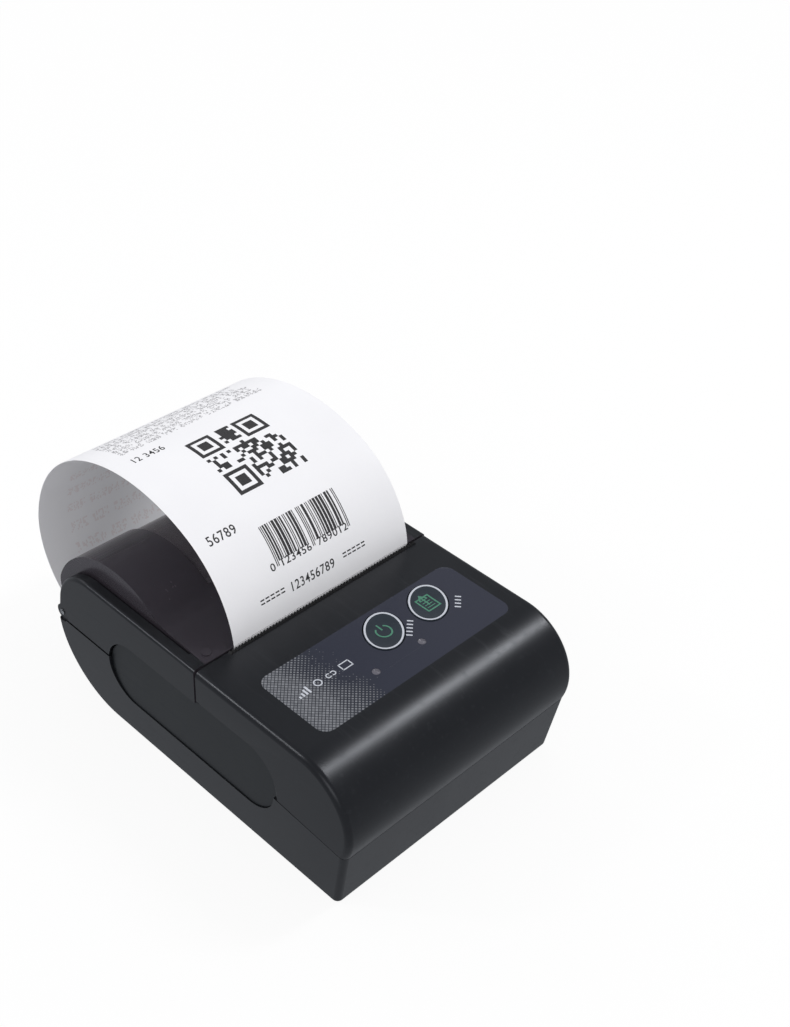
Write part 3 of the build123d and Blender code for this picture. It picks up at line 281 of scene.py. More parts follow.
def labelFilm(look):
    # Slate film whose left third carries a woven halftone that thins out to the right
    finish = Finish("labelFilm", look["constants"])
    x, y = finish.parts(finish.place())[:2]
    cell = finish.place(look["turn"], (1 / look["pitch"],) * 3, look["centre"])
    across, up = finish.parts(finish.node("VectorMath", {"operation": "FRACTION"}, {0: cell}))[:2]
    whole = finish.node("VectorMath", {"operation": "FLOOR"}, {0: cell})
    chance = finish.node("TexWhiteNoise", {"noise_dimensions": "2D"}, {"Vector": whole})
    ragged = (finish.noise(look["raggedSize"], 2.0) - 0.5) * look["ragged"]
    edge = x + ragged + (y - look["centre"][1]) * look["slant"]
    fullness = finish.between(edge, look["solidTo"], look["fadedBy"], 1.0, 0.0)
    reach = look["leastReach"] + fullness * look["reachGrows"]
    farX = finish.maths("ABSOLUTE", across - 0.5)
    farY = finish.maths("ABSOLUTE", up - 0.5)
    square = finish.maths("MAXIMUM", farX, farY) < reach
    strength = look["dotPale"] + chance * look["dotChance"] + fullness * look["dotFull"]
    shown = square * (chance < fullness * look["dotCount"]) * strength
    ground = finish.blend(
        finish.between(x, look["slateFrom"], look["slateTo"]), look["slate"], look["slateFar"]
    )
    ground = finish.blend(fullness * look["groundShare"], ground, look["ground"])
    grain = finish.noise(look["grainSize"], 2.0)
    finish.drive({"Base Color": finish.blend(shown, ground, look["dot"])})
    finish.drive({"Roughness": look["rough"] + grain * look["roughVaries"]})
    finish.drive({"Normal": finish.relief(shown * 0.6 + grain * 0.4, look["grainDepth"])})
    return finish.material


keyLook = {
    "constants": {"Specular IOR Level": 0.32, "Coat Weight": 0.12, "Coat Roughness": 0.12},
    "dark": shade(30, 37, 45),
    "light": shade(42, 51, 61),
    "cloudSize": 4 * mm,
    "rough": 0.3,
    "roughVaries": 0.12,
    "grainSize": 0.12 * mm,
    "grainDepth": 0.004 * mm,
}


def keyFilm(look):
    finish = Finish("keyFilm", look["constants"])
    cloud = finish.noise(look["cloudSize"], 2.0)
    grain = finish.noise(look["grainSize"], 2.0)
    finish.drive({"Base Color": finish.blend(cloud, look["dark"], look["light"])})
    finish.drive({"Roughness": look["rough"] + grain * look["roughVaries"]})
    finish.drive({"Normal": finish.relief(grain, look["grainDepth"])})
    return finish.material


inkLook = {"patchSize": 0.35 * mm, "rough": 0.55, "roughVaries": 0.15}


def printInk(name, tint, paleness=0.12):
    # Ink laid on a surface, a little uneven
    finish = Finish(name, {"Specular IOR Level": 0.25})
    patch = finish.noise(inkLook["patchSize"], 3.0)
    paler = tuple(part + paleness * (1 - part) for part in tint[:3]) + (1.0,)
    rough = inkLook["rough"] + patch * inkLook["roughVaries"]
    finish.drive({"Base Color": finish.blend(patch, tint, paler), "Roughness": rough})
    return finish.material


paperLook = {
    "sheet": shade(232, 232, 236),
    "fibre": shade(244, 244, 247),
    "cloudSize": 16 * mm,
    "threadSize": 0.3 * mm,
    "threadDepth": 0.004 * mm,
    "rough": 0.5,
    "roughVaries": 0.16,
}


def thermalPaper(look):
    finish = Finish("thermalPaper", {"Specular IOR Level": 0.3})
    cloud = finish.noise(look["cloudSize"], 2.0)
    threads = finish.noise(look["threadSize"], 4.0, 0.65)
    colour = finish.blend(cloud * 0.5 + threads * 0.5, look["sheet"], look["fibre"])
    finish.drive({"Base Color": colour, "Roughness": look["rough"] + threads * look["roughVaries"]})
    finish.drive({"Normal": finish.relief(threads, look["threadDepth"])})
    return finish.material


rollLook = {
    "dark": shade(206, 205, 205),
    "light": shade(240, 240, 242),
    "endFrom": 28.3 * mm,  # the ends start this far from the middle
    "endFull": 28.45 * mm,
    "layerSize": 0.09 * mm,
    "threadSize": 0.3 * mm,
    "depth": 0.03 * mm,
    "rough": 0.55,
    "roughVaries": 0.15,
}


def rolledPaper(look):
    # The ends of the roll show the edges of its layers as fine rings
    finish = Finish("rolledPaper", {"Specular IOR Level": 0.3})
    low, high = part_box("paper_roll")
    x, y, z = finish.parts(finish.place(0, (1, 1, 1), (0, (low.y + high.y) / 2, (low.z + high.z) / 2)))
    away = finish.maths("SQRT", y * y + z * z)
    fromMiddle = finish.maths("ABSOLUTE", x - (low.x + high.x) / 2)
    onEnd = finish.between(fromMiddle, look["endFrom"], look["endFull"])
    outward = finish.node("CombineXYZ", {}, {0: away, 1: 0.0, 2: 0.0})
    layer = finish.noise(look["layerSize"], 2.0, 0.6, outward)
    threads = finish.noise(look["threadSize"], 3.0, 0.6)
    mixed = layer * onEnd + threads * (1 - onEnd)
    finish.drive({"Base Color": finish.blend(mixed, look["dark"], look["light"])})
    finish.drive({"Roughness": look["rough"] + threads * look["roughVaries"]})
    finish.drive({"Normal": finish.relief(mixed, look["depth"])})
    return finish.material


metalGrain = {"patchSize": 3 * mm, "lineVaries": 0.16, "patchVaries": 0.1, "depth": 0.002 * mm}


def brushedMetal(name, look):
    # Fine lines along one direction, with a few dull patches
    finish = Finish(name, {"Metallic": 1.0})
    line = finish.noise(look["line"], 3.0, 0.6, finish.place(0, look["stretch"]))
    patch = finish.noise(metalGrain["patchSize"], 2.0)
    uneven = (line - 0.5) * metalGrain["lineVaries"] + (patch - 0.5) * metalGrain["patchVaries"]
    finish.drive({"Base Color": finish.blend(line, look["dark"], look["light"])})
    finish.drive({"Roughness": look["rough"] + uneven})
    finish.drive({"Normal": finish.relief(line, metalGrain["depth"])})
    return finish.material


def grainedSolid(name, look):
    # Rubber, acetal, ceramic, card: a body colour, a second one in patches, and a grain
    finish = Finish(name, look.get("constants", {"Specular IOR Level": 0.4}))
    patch = finish.noise(look["patch"], 3.0)
    grain = finish.noise(look["grain"], 3.0, 0.6)
    finish.drive({"Base Color": finish.blend(patch * 0.6 + grain * 0.4, look["dark"], look["light"])})
    finish.drive({"Roughness": look["rough"] + (grain - 0.5) * 0.15})
    finish.drive({"Normal": finish.relief(grain, look["depth"])})
    return finish.material


boardLook = {
    "mask": shade(18, 70, 44),
    "track": shade(36, 104, 62),
    "lanePitch": 0.9 * mm,
    "crossPitch": 1.3 * mm,
    "laneHalf": 0.22,  # half width of a track, in pitches
    "crossHalf": 0.16,
    "areaSize": 9 * mm,
    "crossRare": 0.25,
    "trackDepth": 0.03 * mm,
    "rough": 0.35,
    "roughVaries": 0.1,
    "roughSize": 0.4 * mm,
}


def circuitBoard(look):
    # Green solder mask over faint tracks that run both ways
    finish = Finish("circuitBoard", {"Specular IOR Level": 0.5})
    x, y = finish.parts(finish.place())[:2]

    def tracks(place, pitch, half):  # a chance value for each lane, and where its track lies
        lane = finish.maths("FLOOR", place / pitch)
        chance = finish.node("TexWhiteNoise", {"noise_dimensions": "1D"}, {"W": lane})
        off = finish.maths("ABSOLUTE", finish.maths("FRACT", place / pitch) - 0.5)
        return chance, off < half

    lane, inLane = tracks(x, look["lanePitch"], look["laneHalf"])
    cross, inCross = tracks(y, look["crossPitch"], look["crossHalf"])
    area = finish.noise(look["areaSize"], 1.0)
    crossing = inCross * (cross > area + look["crossRare"])
    track = finish.maths("MAXIMUM", inLane * (lane < area), crossing)
    finish.drive({"Base Color": finish.blend(track, look["mask"], look["track"])})
    finish.drive({"Roughness": look["rough"] + finish.noise(look["roughSize"]) * look["roughVaries"]})
    finish.drive({"Normal": finish.relief(track, look["trackDepth"])})
    return finish.material


finishes = {
    "shell": mouldedPlastic("satinShell", shellLook),
    "cover": mouldedPlastic("smokyCover", coverLook),
    "grip": mouldedPlastic("gripPad", gripShadeLook),
    "window": smokyWindow(windowLook),
    "label": labelFilm(labelLook),
    "key": keyFilm(keyLook),
    "paper": thermalPaper(paperLook),
    "steel": brushedMetal(
        "groundSteel",
        {"dark": shade(150, 152, 155), "light": shade(196, 197, 199), "rough": 0.3,
         "line": 0.12 * mm, "stretch": (0.05, 1, 1)},
    ),
    "alloy": brushedMetal(
        "rolledAlloy",
        {"dark": shade(168, 170, 172), "light": shade(206, 207, 208), "rough": 0.38,
         "line": 0.16 * mm, "stretch": (0.04, 1, 1)},
    ),
    "contact": brushedMetal(
        "platedContact",
        {"dark": shade(196, 160, 92), "light": shade(226, 196, 130), "rough": 0.28,
         "line": 0.12 * mm, "stretch": (1, 0.1, 1)},
    ),
    "ceramic": grainedSolid(
        "glazedCeramic",
        {"dark": shade(204, 196, 178), "light": shade(226, 220, 206), "rough": 0.24,
         "patch": 5 * mm, "grain": 0.2 * mm, "depth": 0.002 * mm},
    ),
    "rubber": grainedSolid(
        "groundRubber",
        {"dark": shade(30, 30, 31), "light": shade(44, 44, 45), "rough": 0.72,
         "patch": 4 * mm, "grain": 0.11 * mm, "depth": 0.01 * mm},
    ),
    "gear": grainedSolid(
        "whiteAcetal",
        {"dark": shade(214, 211, 201), "light": shade(232, 230, 222), "rough": 0.42,
         "patch": 3 * mm, "grain": 0.16 * mm, "depth": 0.003 * mm},
    ),
    "bush": grainedSolid(
        "blackAcetal",
        {"dark": shade(28, 28, 30), "light": shade(42, 42, 44), "rough": 0.42,
         "patch": 3 * mm, "grain": 0.16 * mm, "depth": 0.003 * mm},
    ),
    "core": grainedSolid(
        "rollCard",
        {"dark": shade(150, 124, 92), "light": shade(182, 154, 118), "rough": 0.8,
         "patch": 2 * mm, "grain": 0.18 * mm, "depth": 0.02 * mm},
    ),
    "lamp": grainedSolid(
        "lampPipe",
        {"dark": shade(84, 82, 92), "light": shade(98, 96, 106), "rough": 0.3,
         "patch": 1 * mm, "grain": 0.1 * mm, "depth": 0.002 * mm,
         "constants": {"Specular IOR Level": 0.5, "Coat Weight": 0.3}},
    ),
    "chip": grainedSolid(
        "chipResin",
        {"dark": shade(24, 24, 26), "light": shade(38, 38, 40), "rough": 0.6,
         "patch": 2 * mm, "grain": 0.12 * mm, "depth": 0.006 * mm},
    ),
    "battery": grainedSolid(
        "cellWrap",
        {"dark": shade(74, 78, 86), "light": shade(96, 100, 108), "rough": 0.38,
         "patch": 8 * mm, "grain": 0.3 * mm, "depth": 0.01 * mm},
    ),
    "board": circuitBoard(boardLook),
}
rolled = rolledPaper(rollLook)
whiteInk = printInk("whiteInk", shade(186, 190, 200))
greenInk = printInk("greenInk", shade(26, 112, 84))
blackInk = printInk("thermalInk", shade(27, 26, 30), 0.05)
fadedInk = printInk("fadedInk", shade(150, 149, 154), 0.3)
ghostInk = printInk("ghostInk", shade(226, 219, 222), 0.3)
print("finishes made:", len(bpy.data.materials))


# Pieces
def makePiece(name, form, paints, body, replaced=(), sharp=38, steps=()):
    mesh = bpy.data.meshes.new(name)
    form.to_mesh(mesh)
    form.free()
    for paint in paints:
        mesh.materials.append(paint)
    mesh.polygons.foreach_set("use_smooth", [True] * len(mesh.polygons))
    mesh.set_sharp_from_angle(angle=radians(sharp))
    piece = bpy.data.objects.new(name, mesh)
    bpy.context.scene.collection.objects.link(piece)
    for kind, settings in steps:
        step = piece.modifiers.new(kind.title(), kind)
        for key, value in settings.items():
            setattr(step, key, value)
    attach(piece, body)
    if replaced:
        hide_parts(*replaced)
    return piece


slots = {part["node"]: part["material_slot"] for part in frame["record"]["subparts"]}
dressing = {
    "weld": 0.001 * mm,
    "flat": radians(0.2),  # faces that turn less than this become one
    "breakFrom": radians(40),
    "breakSteps": 2,
    "domeHalf": 34.35 * mm,  # the cover's smoky dome is this wide to each side
    "gripDepth": (36.6 * mm, 37.1 * mm),  # the sunken grip pads lie between these
    "gripFacing": 0.9,
}


def pieceName(node):  # roll_cover becomes rollCover
    first, *others = node.split("_")
    return first + "".join(word.title() for word in others)


def dressedCopy(node, paint=None, edge=0.0):
    # The node's own shape, welded, with its sharp edges broken and its shading evened out
    form = bmesh.new()
    form.from_mesh(frame["nodes"][node].data)
    bmesh.ops.remove_doubles(form, verts=form.verts, dist=dressing["weld"])
    steps = [("WEIGHTED_NORMAL", {"keep_sharp": True, "weight": 80})]
    if edge:
        bmesh.ops.dissolve_limit(form, angle_limit=dressing["flat"], verts=form.verts, edges=form.edges)
        breaking = {"width": edge, "segments": dressing["breakSteps"], "limit_method": "ANGLE"}
        steps.insert(0, ("BEVEL", dict(breaking, angle_limit=dressing["breakFrom"])))
    paints = [paint or finishes[slots[node]]]
    if node == "roll_cover":  # its cheeks and sides match the case, its dome is smoky
        paints.append(finishes["shell"])
        for face in form.faces:
            face.material_index = 1 if abs(face.calc_center_median().x) > dressing["domeHalf"] else 0
    if node == "upper_housing":  # the sunken grip pads are rougher, and their darker colour is painted shade in the recess
        paints.append(finishes["grip"])
        inner, outer = dressing["gripDepth"]
        for face in form.faces:
            sunken = inner < abs(face.calc_center_median().x) < outer
            face.material_index = 1 if sunken and abs(face.normal.x) > dressing["gripFacing"] else 0
    body = frame["nodes"][node]["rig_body"]
    return makePiece(pieceName(node), form, paints, body, [node], 30, steps)


brokenEdges = {  # how far each piece's sharp edges are broken
    "upper_housing": 0.06 * mm,
    "base_shell": 0.06 * mm,
    "roll_cover": 0.14 * mm,
    "battery_door": 0.12 * mm,
}
remade = ["printed_receipt", "power_key", "feed_key"]  # these get a new form below
for node in frame["nodes"]:
    if node not in remade:
        paint = rolled if node == "paper_roll" else None
        piece = dressedCopy(node, paint, brokenEdges.get(node, 0.0))
        if node == "head_spring":  # the spring gets a mesh of its own; nothing here shortens it
            low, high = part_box(node)
            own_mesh(piece)

# The receipt and its print: the sheet and the ink are made flat, measured across and along
# from the tear bar, and then bent
receipt = {
    "start": (-2.8 * mm, 39.9 * mm),
    "heading": 82.0,
    "arcs": [(29.2 * mm, 58.1), (47.1 * mm, 49.2), (38.6 * mm, 54.1), (24.8 * mm, 62.5)],  # radius, turn
    "thickness": 0.1 * mm,
    "toothPitch": 0.95 * mm,
    "tearDepth": 0.35 * mm,
    "rows": 130,
    "inkLift": 0.008 * mm,
    "inkWall": 0.006 * mm,
    "inkLongest": 0.9 * mm,  # a block of ink longer than this gets cuts
}
receiptLow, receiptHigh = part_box("printed_receipt")
receiptLength = sum(radius * radians(turn) for radius, turn in receipt["arcs"])


def onReceipt(flat):
    # A point of the flat sheet (across, along, above its printed face) as it lies when it curls
    heading = radians(receipt["heading"])
    y, z = receipt["start"]
    left = flat.y
    for number, (radius, turn) in enumerate(receipt["arcs"]):
        centreY = y + radius * sin(heading)
        centreZ = z - radius * cos(heading)
        whole = radians(turn)
        last = number == len(receipt["arcs"]) - 1
        swept = left / radius if last else min(left / radius, whole)
        here = last or left <= radius * whole
        reach = radius + (receipt["thickness"] / 2 + flat.z if here else 0)
        heading -= swept
        y = centreY - reach * sin(heading)
        z = centreZ + reach * cos(heading)
        if here:
            return Vector((flat.x, y, z))
        left -= radius * whole


def receiptSheet():
    width = receiptHigh.x - receiptLow.x
    columns = 2 * round(width / receipt["toothPitch"])
    form = bmesh.new()
    bmesh.ops.create_grid(form, x_segments=columns, y_segments=receipt["rows"], size=0.5)
    for vert in form.verts:
        column = round((vert.co.x + 0.5) * columns)
        atEnd = vert.co.y > 0.4999  # the torn edge, at the free end
        tooth = receipt["tearDepth"] if column % 2 and atEnd else 0.0
        across = receiptLow.x + (vert.co.x + 0.5) * width
        vert.co = onReceipt(Vector((across, (vert.co.y + 0.5) * receiptLength - tooth, 0)))
    bmesh.ops.recalc_face_normals(form, faces=form.faces)
    bmesh.ops.solidify(form, geom=form.faces[:], thickness=receipt["thickness"])
    bmesh.ops.recalc_face_normals(form, faces=form.faces)
    paints = [finishes["paper"]]
    return makePiece("printedReceipt", form, paints, "receipt", ["printed_receipt"], 50)


def inkBlock(form, left, right, low, high, face=1):
    # One run of ink on the flat sheet; long ones get cuts so that they can bend
    lift = receipt["inkLift"]
    if face < 0:
        lift = -receipt["thickness"] - receipt["inkLift"] - receipt["inkWall"]
    size = Matrix.Diagonal((right - left, high - low, receipt["inkWall"], 1))
    middle = Matrix.Translation(((left + right) / 2, (low + high) / 2, lift + receipt["inkWall"] / 2))
    verts = bmesh.ops.create_cube(form, size=1.0, matrix=middle @ size)["verts"]
    cuts = int((high - low) / receipt["inkLongest"])
    for cut in range(cuts):
        at = low + (high - low) * (cut + 1) / (cuts + 1)
        joined = [part for vert in verts for part in (*vert.link_edges, *vert.link_faces)]
        geom = list(dict.fromkeys([*verts, *joined]))
        made = bmesh.ops.bisect_plane(form, geom=geom, plane_co=(0, at, 0), plane_no=(0, 1, 0))
        verts += [part for part in made["geom_cut"] if isinstance(part, bmesh.types.BMVert)]


def darkRuns(marks):  # where each unbroken run of dark cells starts and ends
    start = None
    for column, dark in enumerate([*marks, False]):
        if dark and start is None:
            start = column
        elif not dark and start is not None:
            yield start, column
            start = None


def inkPiece(name, form, ink):
    for vert in form.verts:
        vert.co = onReceipt(vert.co)
    bmesh.ops.recalc_face_normals(form, faces=form.faces)
    return makePiece(name, form, [ink], "receipt")


matrixCode = {
    "left": -7.3 * mm,
    "right": 13.9 * mm,
    "low": 31.3 * mm,
    "modules": 21,
    "target": 7,  # modules along a side of a corner target
    "share": 0.5,
    "seed": 41,
}


def matrixPrint():
    # A made-up matrix pattern: three corner targets, and the rest drawn by chance
    draw = random.Random(matrixCode["seed"])
    count = matrixCode["modules"]
    target = matrixCode["target"]
    module = (matrixCode["right"] - matrixCode["left"]) / count
    corners = [(0, 0), (0, count - target), (count - target, count - target)]
    form = bmesh.new()
    for row in range(count):
        dark = []
        for column in range(count):
            filled = draw.random() < matrixCode["share"]
            for cornerX, cornerY in corners:
                inX = column - cornerX
                inY = row - cornerY
                if -1 <= inX <= target and -1 <= inY <= target:  # the target and a pale border
                    middle = target // 2
                    filled = max(abs(inX - middle), abs(inY - middle)) in (0, 1, middle)
            dark.append(filled)
        low = matrixCode["low"] + row * module
        for start, end in darkRuns(dark):
            left = matrixCode["left"] + start * module
            inkBlock(form, left, matrixCode["left"] + end * module, low, low + module)
    return inkPiece("matrixPrint", form, blackInk)


barCode = {
    "left": -8.9 * mm,
    "right": 14.6 * mm,
    "low": 13.4 * mm,
    "high": 22.6 * mm,
    "modules": 95,
    "guards": (0, 2, 46, 48, 92, 94),
    "guardDrop": 1.0 * mm,
    "fields": ((4, 45), (50, 91)),
    "bars": (1, 1, 2, 2, 3),  # widths to draw from, in modules
    "spaces": (1, 1, 1, 2, 2),
    "seed": 7,
}


def barPrint():
    # Bars of chance widths between guard bars, which reach lower
    draw = random.Random(barCode["seed"])
    module = (barCode["right"] - barCode["left"]) / barCode["modules"]
    bars = [(at, 1, barCode["guardDrop"]) for at in barCode["guards"]]
    for at, end in barCode["fields"]:
        while at < end - 1:
            wide = min(draw.choice(barCode["bars"]), end - at)
            bars.append((at, wide, 0.0))
            at += wide + draw.choice(barCode["spaces"])
    form = bmesh.new()
    for at, wide, drop in bars:
        left = barCode["left"] + at * module
        inkBlock(form, left, left + wide * module, barCode["low"] - drop, barCode["high"])
    return inkPiece("barPrint", form, blackInk)


dotLetter = {"columns": 4, "rows": 6, "share": 0.44, "tall": 1.2, "pitch": 5, "gap": 3}  # in pixels


def dotWords(form, words, left, low, pixel, draw, face=1):
    # Rows of small blocks drawn by chance, like small faint print
    at = left
    tall = pixel * dotLetter["tall"]
    for letters in words:
        for letter in range(letters):
            for row in range(dotLetter["rows"]):
                lit = [draw.random() < dotLetter["share"] for column in range(dotLetter["columns"])]
                foot = low + row * tall
                for start, end in darkRuns(lit):
                    inkBlock(form, at + start * pixel, at + end * pixel, foot, foot + tall, face)
            at += dotLetter["pitch"] * pixel
        at += dotLetter["gap"] * pixel


dashes = {
    "middle": 0.4 * mm,
    "first": 10.0 * mm,  # from the middle to each side
    "pitch": 1.55 * mm,
    "count": 5,
    "halfLength": 0.58 * mm,
    "lines": (5.9 * mm, 6.8 * mm),
    "wide": 0.36 * mm,
}


def dashPrint():
    form = bmesh.new()
    for side in (-1, 1):
        for dash in range(dashes["count"]):
            middle = dashes["middle"] + side * (dashes["first"] + dash * dashes["pitch"])
            for low in dashes["lines"]:
                left = middle - dashes["halfLength"]
                inkBlock(form, left, middle + dashes["halfLength"], low, low + dashes["wide"])
    return inkPiece("dashPrint", form, blackInk)


fadedRows = {
    "lefts": [-20 * mm, -20 * mm, -20 * mm, -20 * mm, -20 * mm, -19 * mm],
    "words": [10, 9, 10, 8, 10, 9],  # at most
    "letters": [3, 4, 5, 6],
    "widest": 46 * mm,
    "low": 60.5 * mm,
    "pitch": 2.6 * mm,
    "pixel": 0.29 * mm,
    "seed": 23,
}


def fadedPrint():
    draw = random.Random(fadedRows["seed"])
    pixel = fadedRows["pixel"]
    form = bmesh.new()
    for row, (left, count) in enumerate(zip(fadedRows["lefts"], fadedRows["words"])):
        words = [draw.choice(fadedRows["letters"]) for word in range(count)]
        total = 0
        kept = []
        for letters in words:
            total += (dotLetter["pitch"] * letters + dotLetter["gap"]) * pixel
            if total < fadedRows["widest"]:
                kept.append(letters)
        dotWords(form, kept, left, fadedRows["low"] + row * fadedRows["pitch"], pixel, draw)
    return inkPiece("fadedPrint", form, fadedInk)


ghostRows = {
    "left": -17 * mm,
    "low": 97 * mm,
    "pitch": 6.0 * mm,
    "rows": 5,
    "words": 4,
    "letters": [3, 5, 7],
    "pixel": 0.4 * mm,
    "seed": 29,
}


def ghostPrint():
    # Older lines that show faintly on the other face
    draw = random.Random(ghostRows["seed"])
    form = bmesh.new()
    for row in range(ghostRows["rows"]):
        words = [draw.choice(ghostRows["letters"]) for word in range(ghostRows["words"])]
        low = ghostRows["low"] + row * ghostRows["pitch"]
        dotWords(form, words, ghostRows["left"], low, ghostRows["pixel"], draw, face=-1)
    return inkPiece("ghostPrint", form, ghostInk)


plainNumbers = [  # digits, left end, foot and height in mm, share of their own width
    ("0", -10.9, 11.9, 1.9, 1.15),
    ("123456", -7.9, 11.9, 1.9, 1.15),
    ("789012", 3.9, 11.9, 1.9, 1.15),
    ("12 3456", -20.6, 54.8, 2.3, 0.84),  # beside the matrix pattern
    ("56789", -22.4, 23.9, 2.5, 0.9),  # beside the bars
    ("123456789", -7.4, 5.0, 2.5, 0.84),  # between the dashes
]
digitForm = {"ofSize": 0.73, "bolder": 0.03 * mm, "spacing": 1.12, "bend": 0.45}  # bend: mm between cuts


def numberPrint():
    form = bmesh.new()
    for text, left, low, height, narrow in plainNumbers:
        curve = bpy.data.curves.new("digits", "FONT")
        curve.body = text
        curve.size = height / digitForm["ofSize"] * mm
        curve.offset = digitForm["bolder"]
        curve.space_character = digitForm["spacing"]
        maker = bpy.data.objects.new("digits", curve)
        flat = bpy.data.meshes.new_from_object(maker)
        added = bmesh.new()
        added.from_mesh(flat)
        bmesh.ops.scale(added, verts=added.verts, vec=(narrow, 1, 1))
        bmesh.ops.translate(added, verts=added.verts, vec=(left * mm, low * mm, receipt["inkLift"]))
        for cut in range(-2, int(height / digitForm["bend"]) + 2):  # so that they bend with the sheet
            geom = added.verts[:] + added.edges[:] + added.faces[:]
            at = (low + cut * digitForm["bend"]) * mm
            bmesh.ops.bisect_plane(added, geom=geom, plane_co=(0, at, 0), plane_no=(0, 1, 0))
        added.to_mesh(flat)
        added.free()
        form.from_mesh(flat)
        bpy.data.objects.remove(maker)
        bpy.data.curves.remove(curve)
        bpy.data.meshes.remove(flat)
    bmesh.ops.triangulate(form, faces=form.faces)
    bmesh.ops.solidify(form, geom=form.faces[:], thickness=-receipt["inkWall"])
    return inkPiece("numberPrint", form, blackInk)


receiptSheet()
matrixPrint()
barPrint()
dashPrint()
fadedPrint()
ghostPrint()
numberPrint()
print("receipt printed")

# The two keys: a dished cap with a pale ring, and a green sign in the dish
keyForm = {
    "halfWidth": 4.95 * mm,
    "halfDepth": 6.6 * mm,
    "turn": radians(-42),
    "top": 39.55 * mm,
    "dish": 0.35 * mm,
    "rim": [(0.0, 0.14 * mm), (0.04 * mm, 0.05 * mm), (0.14 * mm, 0.0)],  # inset and drop, from the skirt
    "around": 96,  # sides of the oval
    "ringOut": 0.18 * mm,
    "ringIn": 0.66 * mm,
    "dishRings": (1.3 * mm, 2.2 * mm, 3.2 * mm, 4.2 * mm, 4.8 * mm),
    "skirt": 2.2 * mm,
    "signLift": 0.02 * mm,
    "signWall": 0.03 * mm,
    "spots": {"power_key": (3.6 * mm, -21.8 * mm), "feed_key": (18.6 * mm, -21.8 * mm)},
}


def dishHeight(across, deep):
    share = hypot(across, deep) / keyForm["halfDepth"]
    return keyForm["top"] - keyForm["dish"] * max(0.0, 1 - share**2)


def ellipseLoop(form, loop, inset, drop):
    # The loop extruded and set to a smaller ellipse that follows the dish
    grown = bmesh.ops.extrude_edge_only(form, edges=loop)["geom"]
    for vert in grown:
        if isinstance(vert, bmesh.types.BMVert):
            angle = atan2(vert.co.y / keyForm["halfDepth"], vert.co.x / keyForm["halfWidth"])
            x = (keyForm["halfWidth"] - inset) * cos(angle)
            y = (keyForm["halfDepth"] - inset) * sin(angle)
            vert.co = (x, y, dishHeight(x, y) - drop)
    return [edge for edge in grown if isinstance(edge, bmesh.types.BMEdge)]


def keyCap(node):
    form = bmesh.new()
    start = Matrix.Translation((0, 0, keyForm["top"] - keyForm["skirt"]))
    oval = start @ Matrix.Diagonal((keyForm["halfWidth"], keyForm["halfDepth"], 1, 1))
    bmesh.ops.create_circle(form, cap_ends=False, segments=keyForm["around"], radius=1, matrix=oval)
    loop = form.edges[:]
    for inset, drop in keyForm["rim"]:
        loop = ellipseLoop(form, loop, inset, drop)
    ringFaces = []
    for inset in (keyForm["ringOut"], keyForm["ringIn"], *keyForm["dishRings"]):
        loop = ellipseLoop(form, loop, inset, 0.0)
        if inset == keyForm["ringIn"]:
            ringFaces = [face for edge in loop for face in edge.link_faces]
    bmesh.ops.contextual_create(form, geom=loop)
    for face in ringFaces:
        face.material_index = 1
    bmesh.ops.recalc_face_normals(form, faces=form.faces)
    bmesh.ops.rotate(form, verts=form.verts, matrix=Matrix.Rotation(keyForm["turn"], 3, "Z"))
    bmesh.ops.translate(form, verts=form.verts, vec=(*keyForm["spots"][node], 0))
    return makePiece(pieceName(node), form, [finishes["key"], whiteInk], node, [node], 40)


def signPiece(name, form, node):
    # Flat strokes laid into the dish of their key
    for vert in form.verts:
        vert.co.z += dishHeight(vert.co.x, vert.co.y) + keyForm["signLift"]
    bmesh.ops.translate(form, verts=form.verts, vec=(*keyForm["spots"][node], 0))
    bmesh.ops.recalc_face_normals(form, faces=form.faces)
    return makePiece(name, form, [greenInk], node)


def stroke(form, start, end, wide):
    # A straight stroke as a thin bar, cut so that it can follow the dish
    run = Vector(end) - Vector(start)
    bar = Matrix.Diagonal((run.length + wide, wide, keyForm["signWall"], 1))
    turn = Matrix.Rotation(atan2(run.y, run.x), 4, "Z")
    middle = Matrix.Translation(((start[0] + end[0]) / 2, (start[1] + end[1]) / 2, 0))
    made = bmesh.ops.create_cube(form, size=1.0, matrix=middle @ turn @ bar)
    edges = dict.fromkeys(edge for vert in made["verts"] for edge in vert.link_edges)
    longEdges = [edge for edge in edges if edge.calc_length() > run.length * 0.9]
    bmesh.ops.subdivide_edges(form, edges=longEdges, cuts=4)


def arcStroke(form, radius, wide, first, last, steps, centre=(0, 0)):
    # A curved stroke: a small section spun about its centre, from one angle to the other
    pivot = (*centre, 0)
    section = Matrix.Translation((centre[0] + radius, centre[1], 0))
    section = section @ Matrix.Diagonal((wide, 1, keyForm["signWall"], 1)) @ Matrix.Rotation(pi / 2, 4, "X")
    verts = bmesh.ops.create_grid(form, x_segments=1, y_segments=1, size=0.5, matrix=section)["verts"]
    bmesh.ops.rotate(form, verts=verts, cent=pivot, matrix=Matrix.Rotation(radians(first), 3, "Z"))
    end = next(face for face in form.faces if all(vert in verts for vert in face.verts))
    geom = [*verts, *end.edges]
    whole = last - first == 360
    if whole:  # a ring has no ends
        bmesh.ops.delete(form, geom=[end], context="FACES_ONLY")
    else:
        geom.append(end)
    bmesh.ops.spin(
        form, geom=geom, cent=pivot, axis=(0, 0, 1), angle=radians(last - first), steps=steps,
        use_merge=whole, use_duplicate=False,
    )


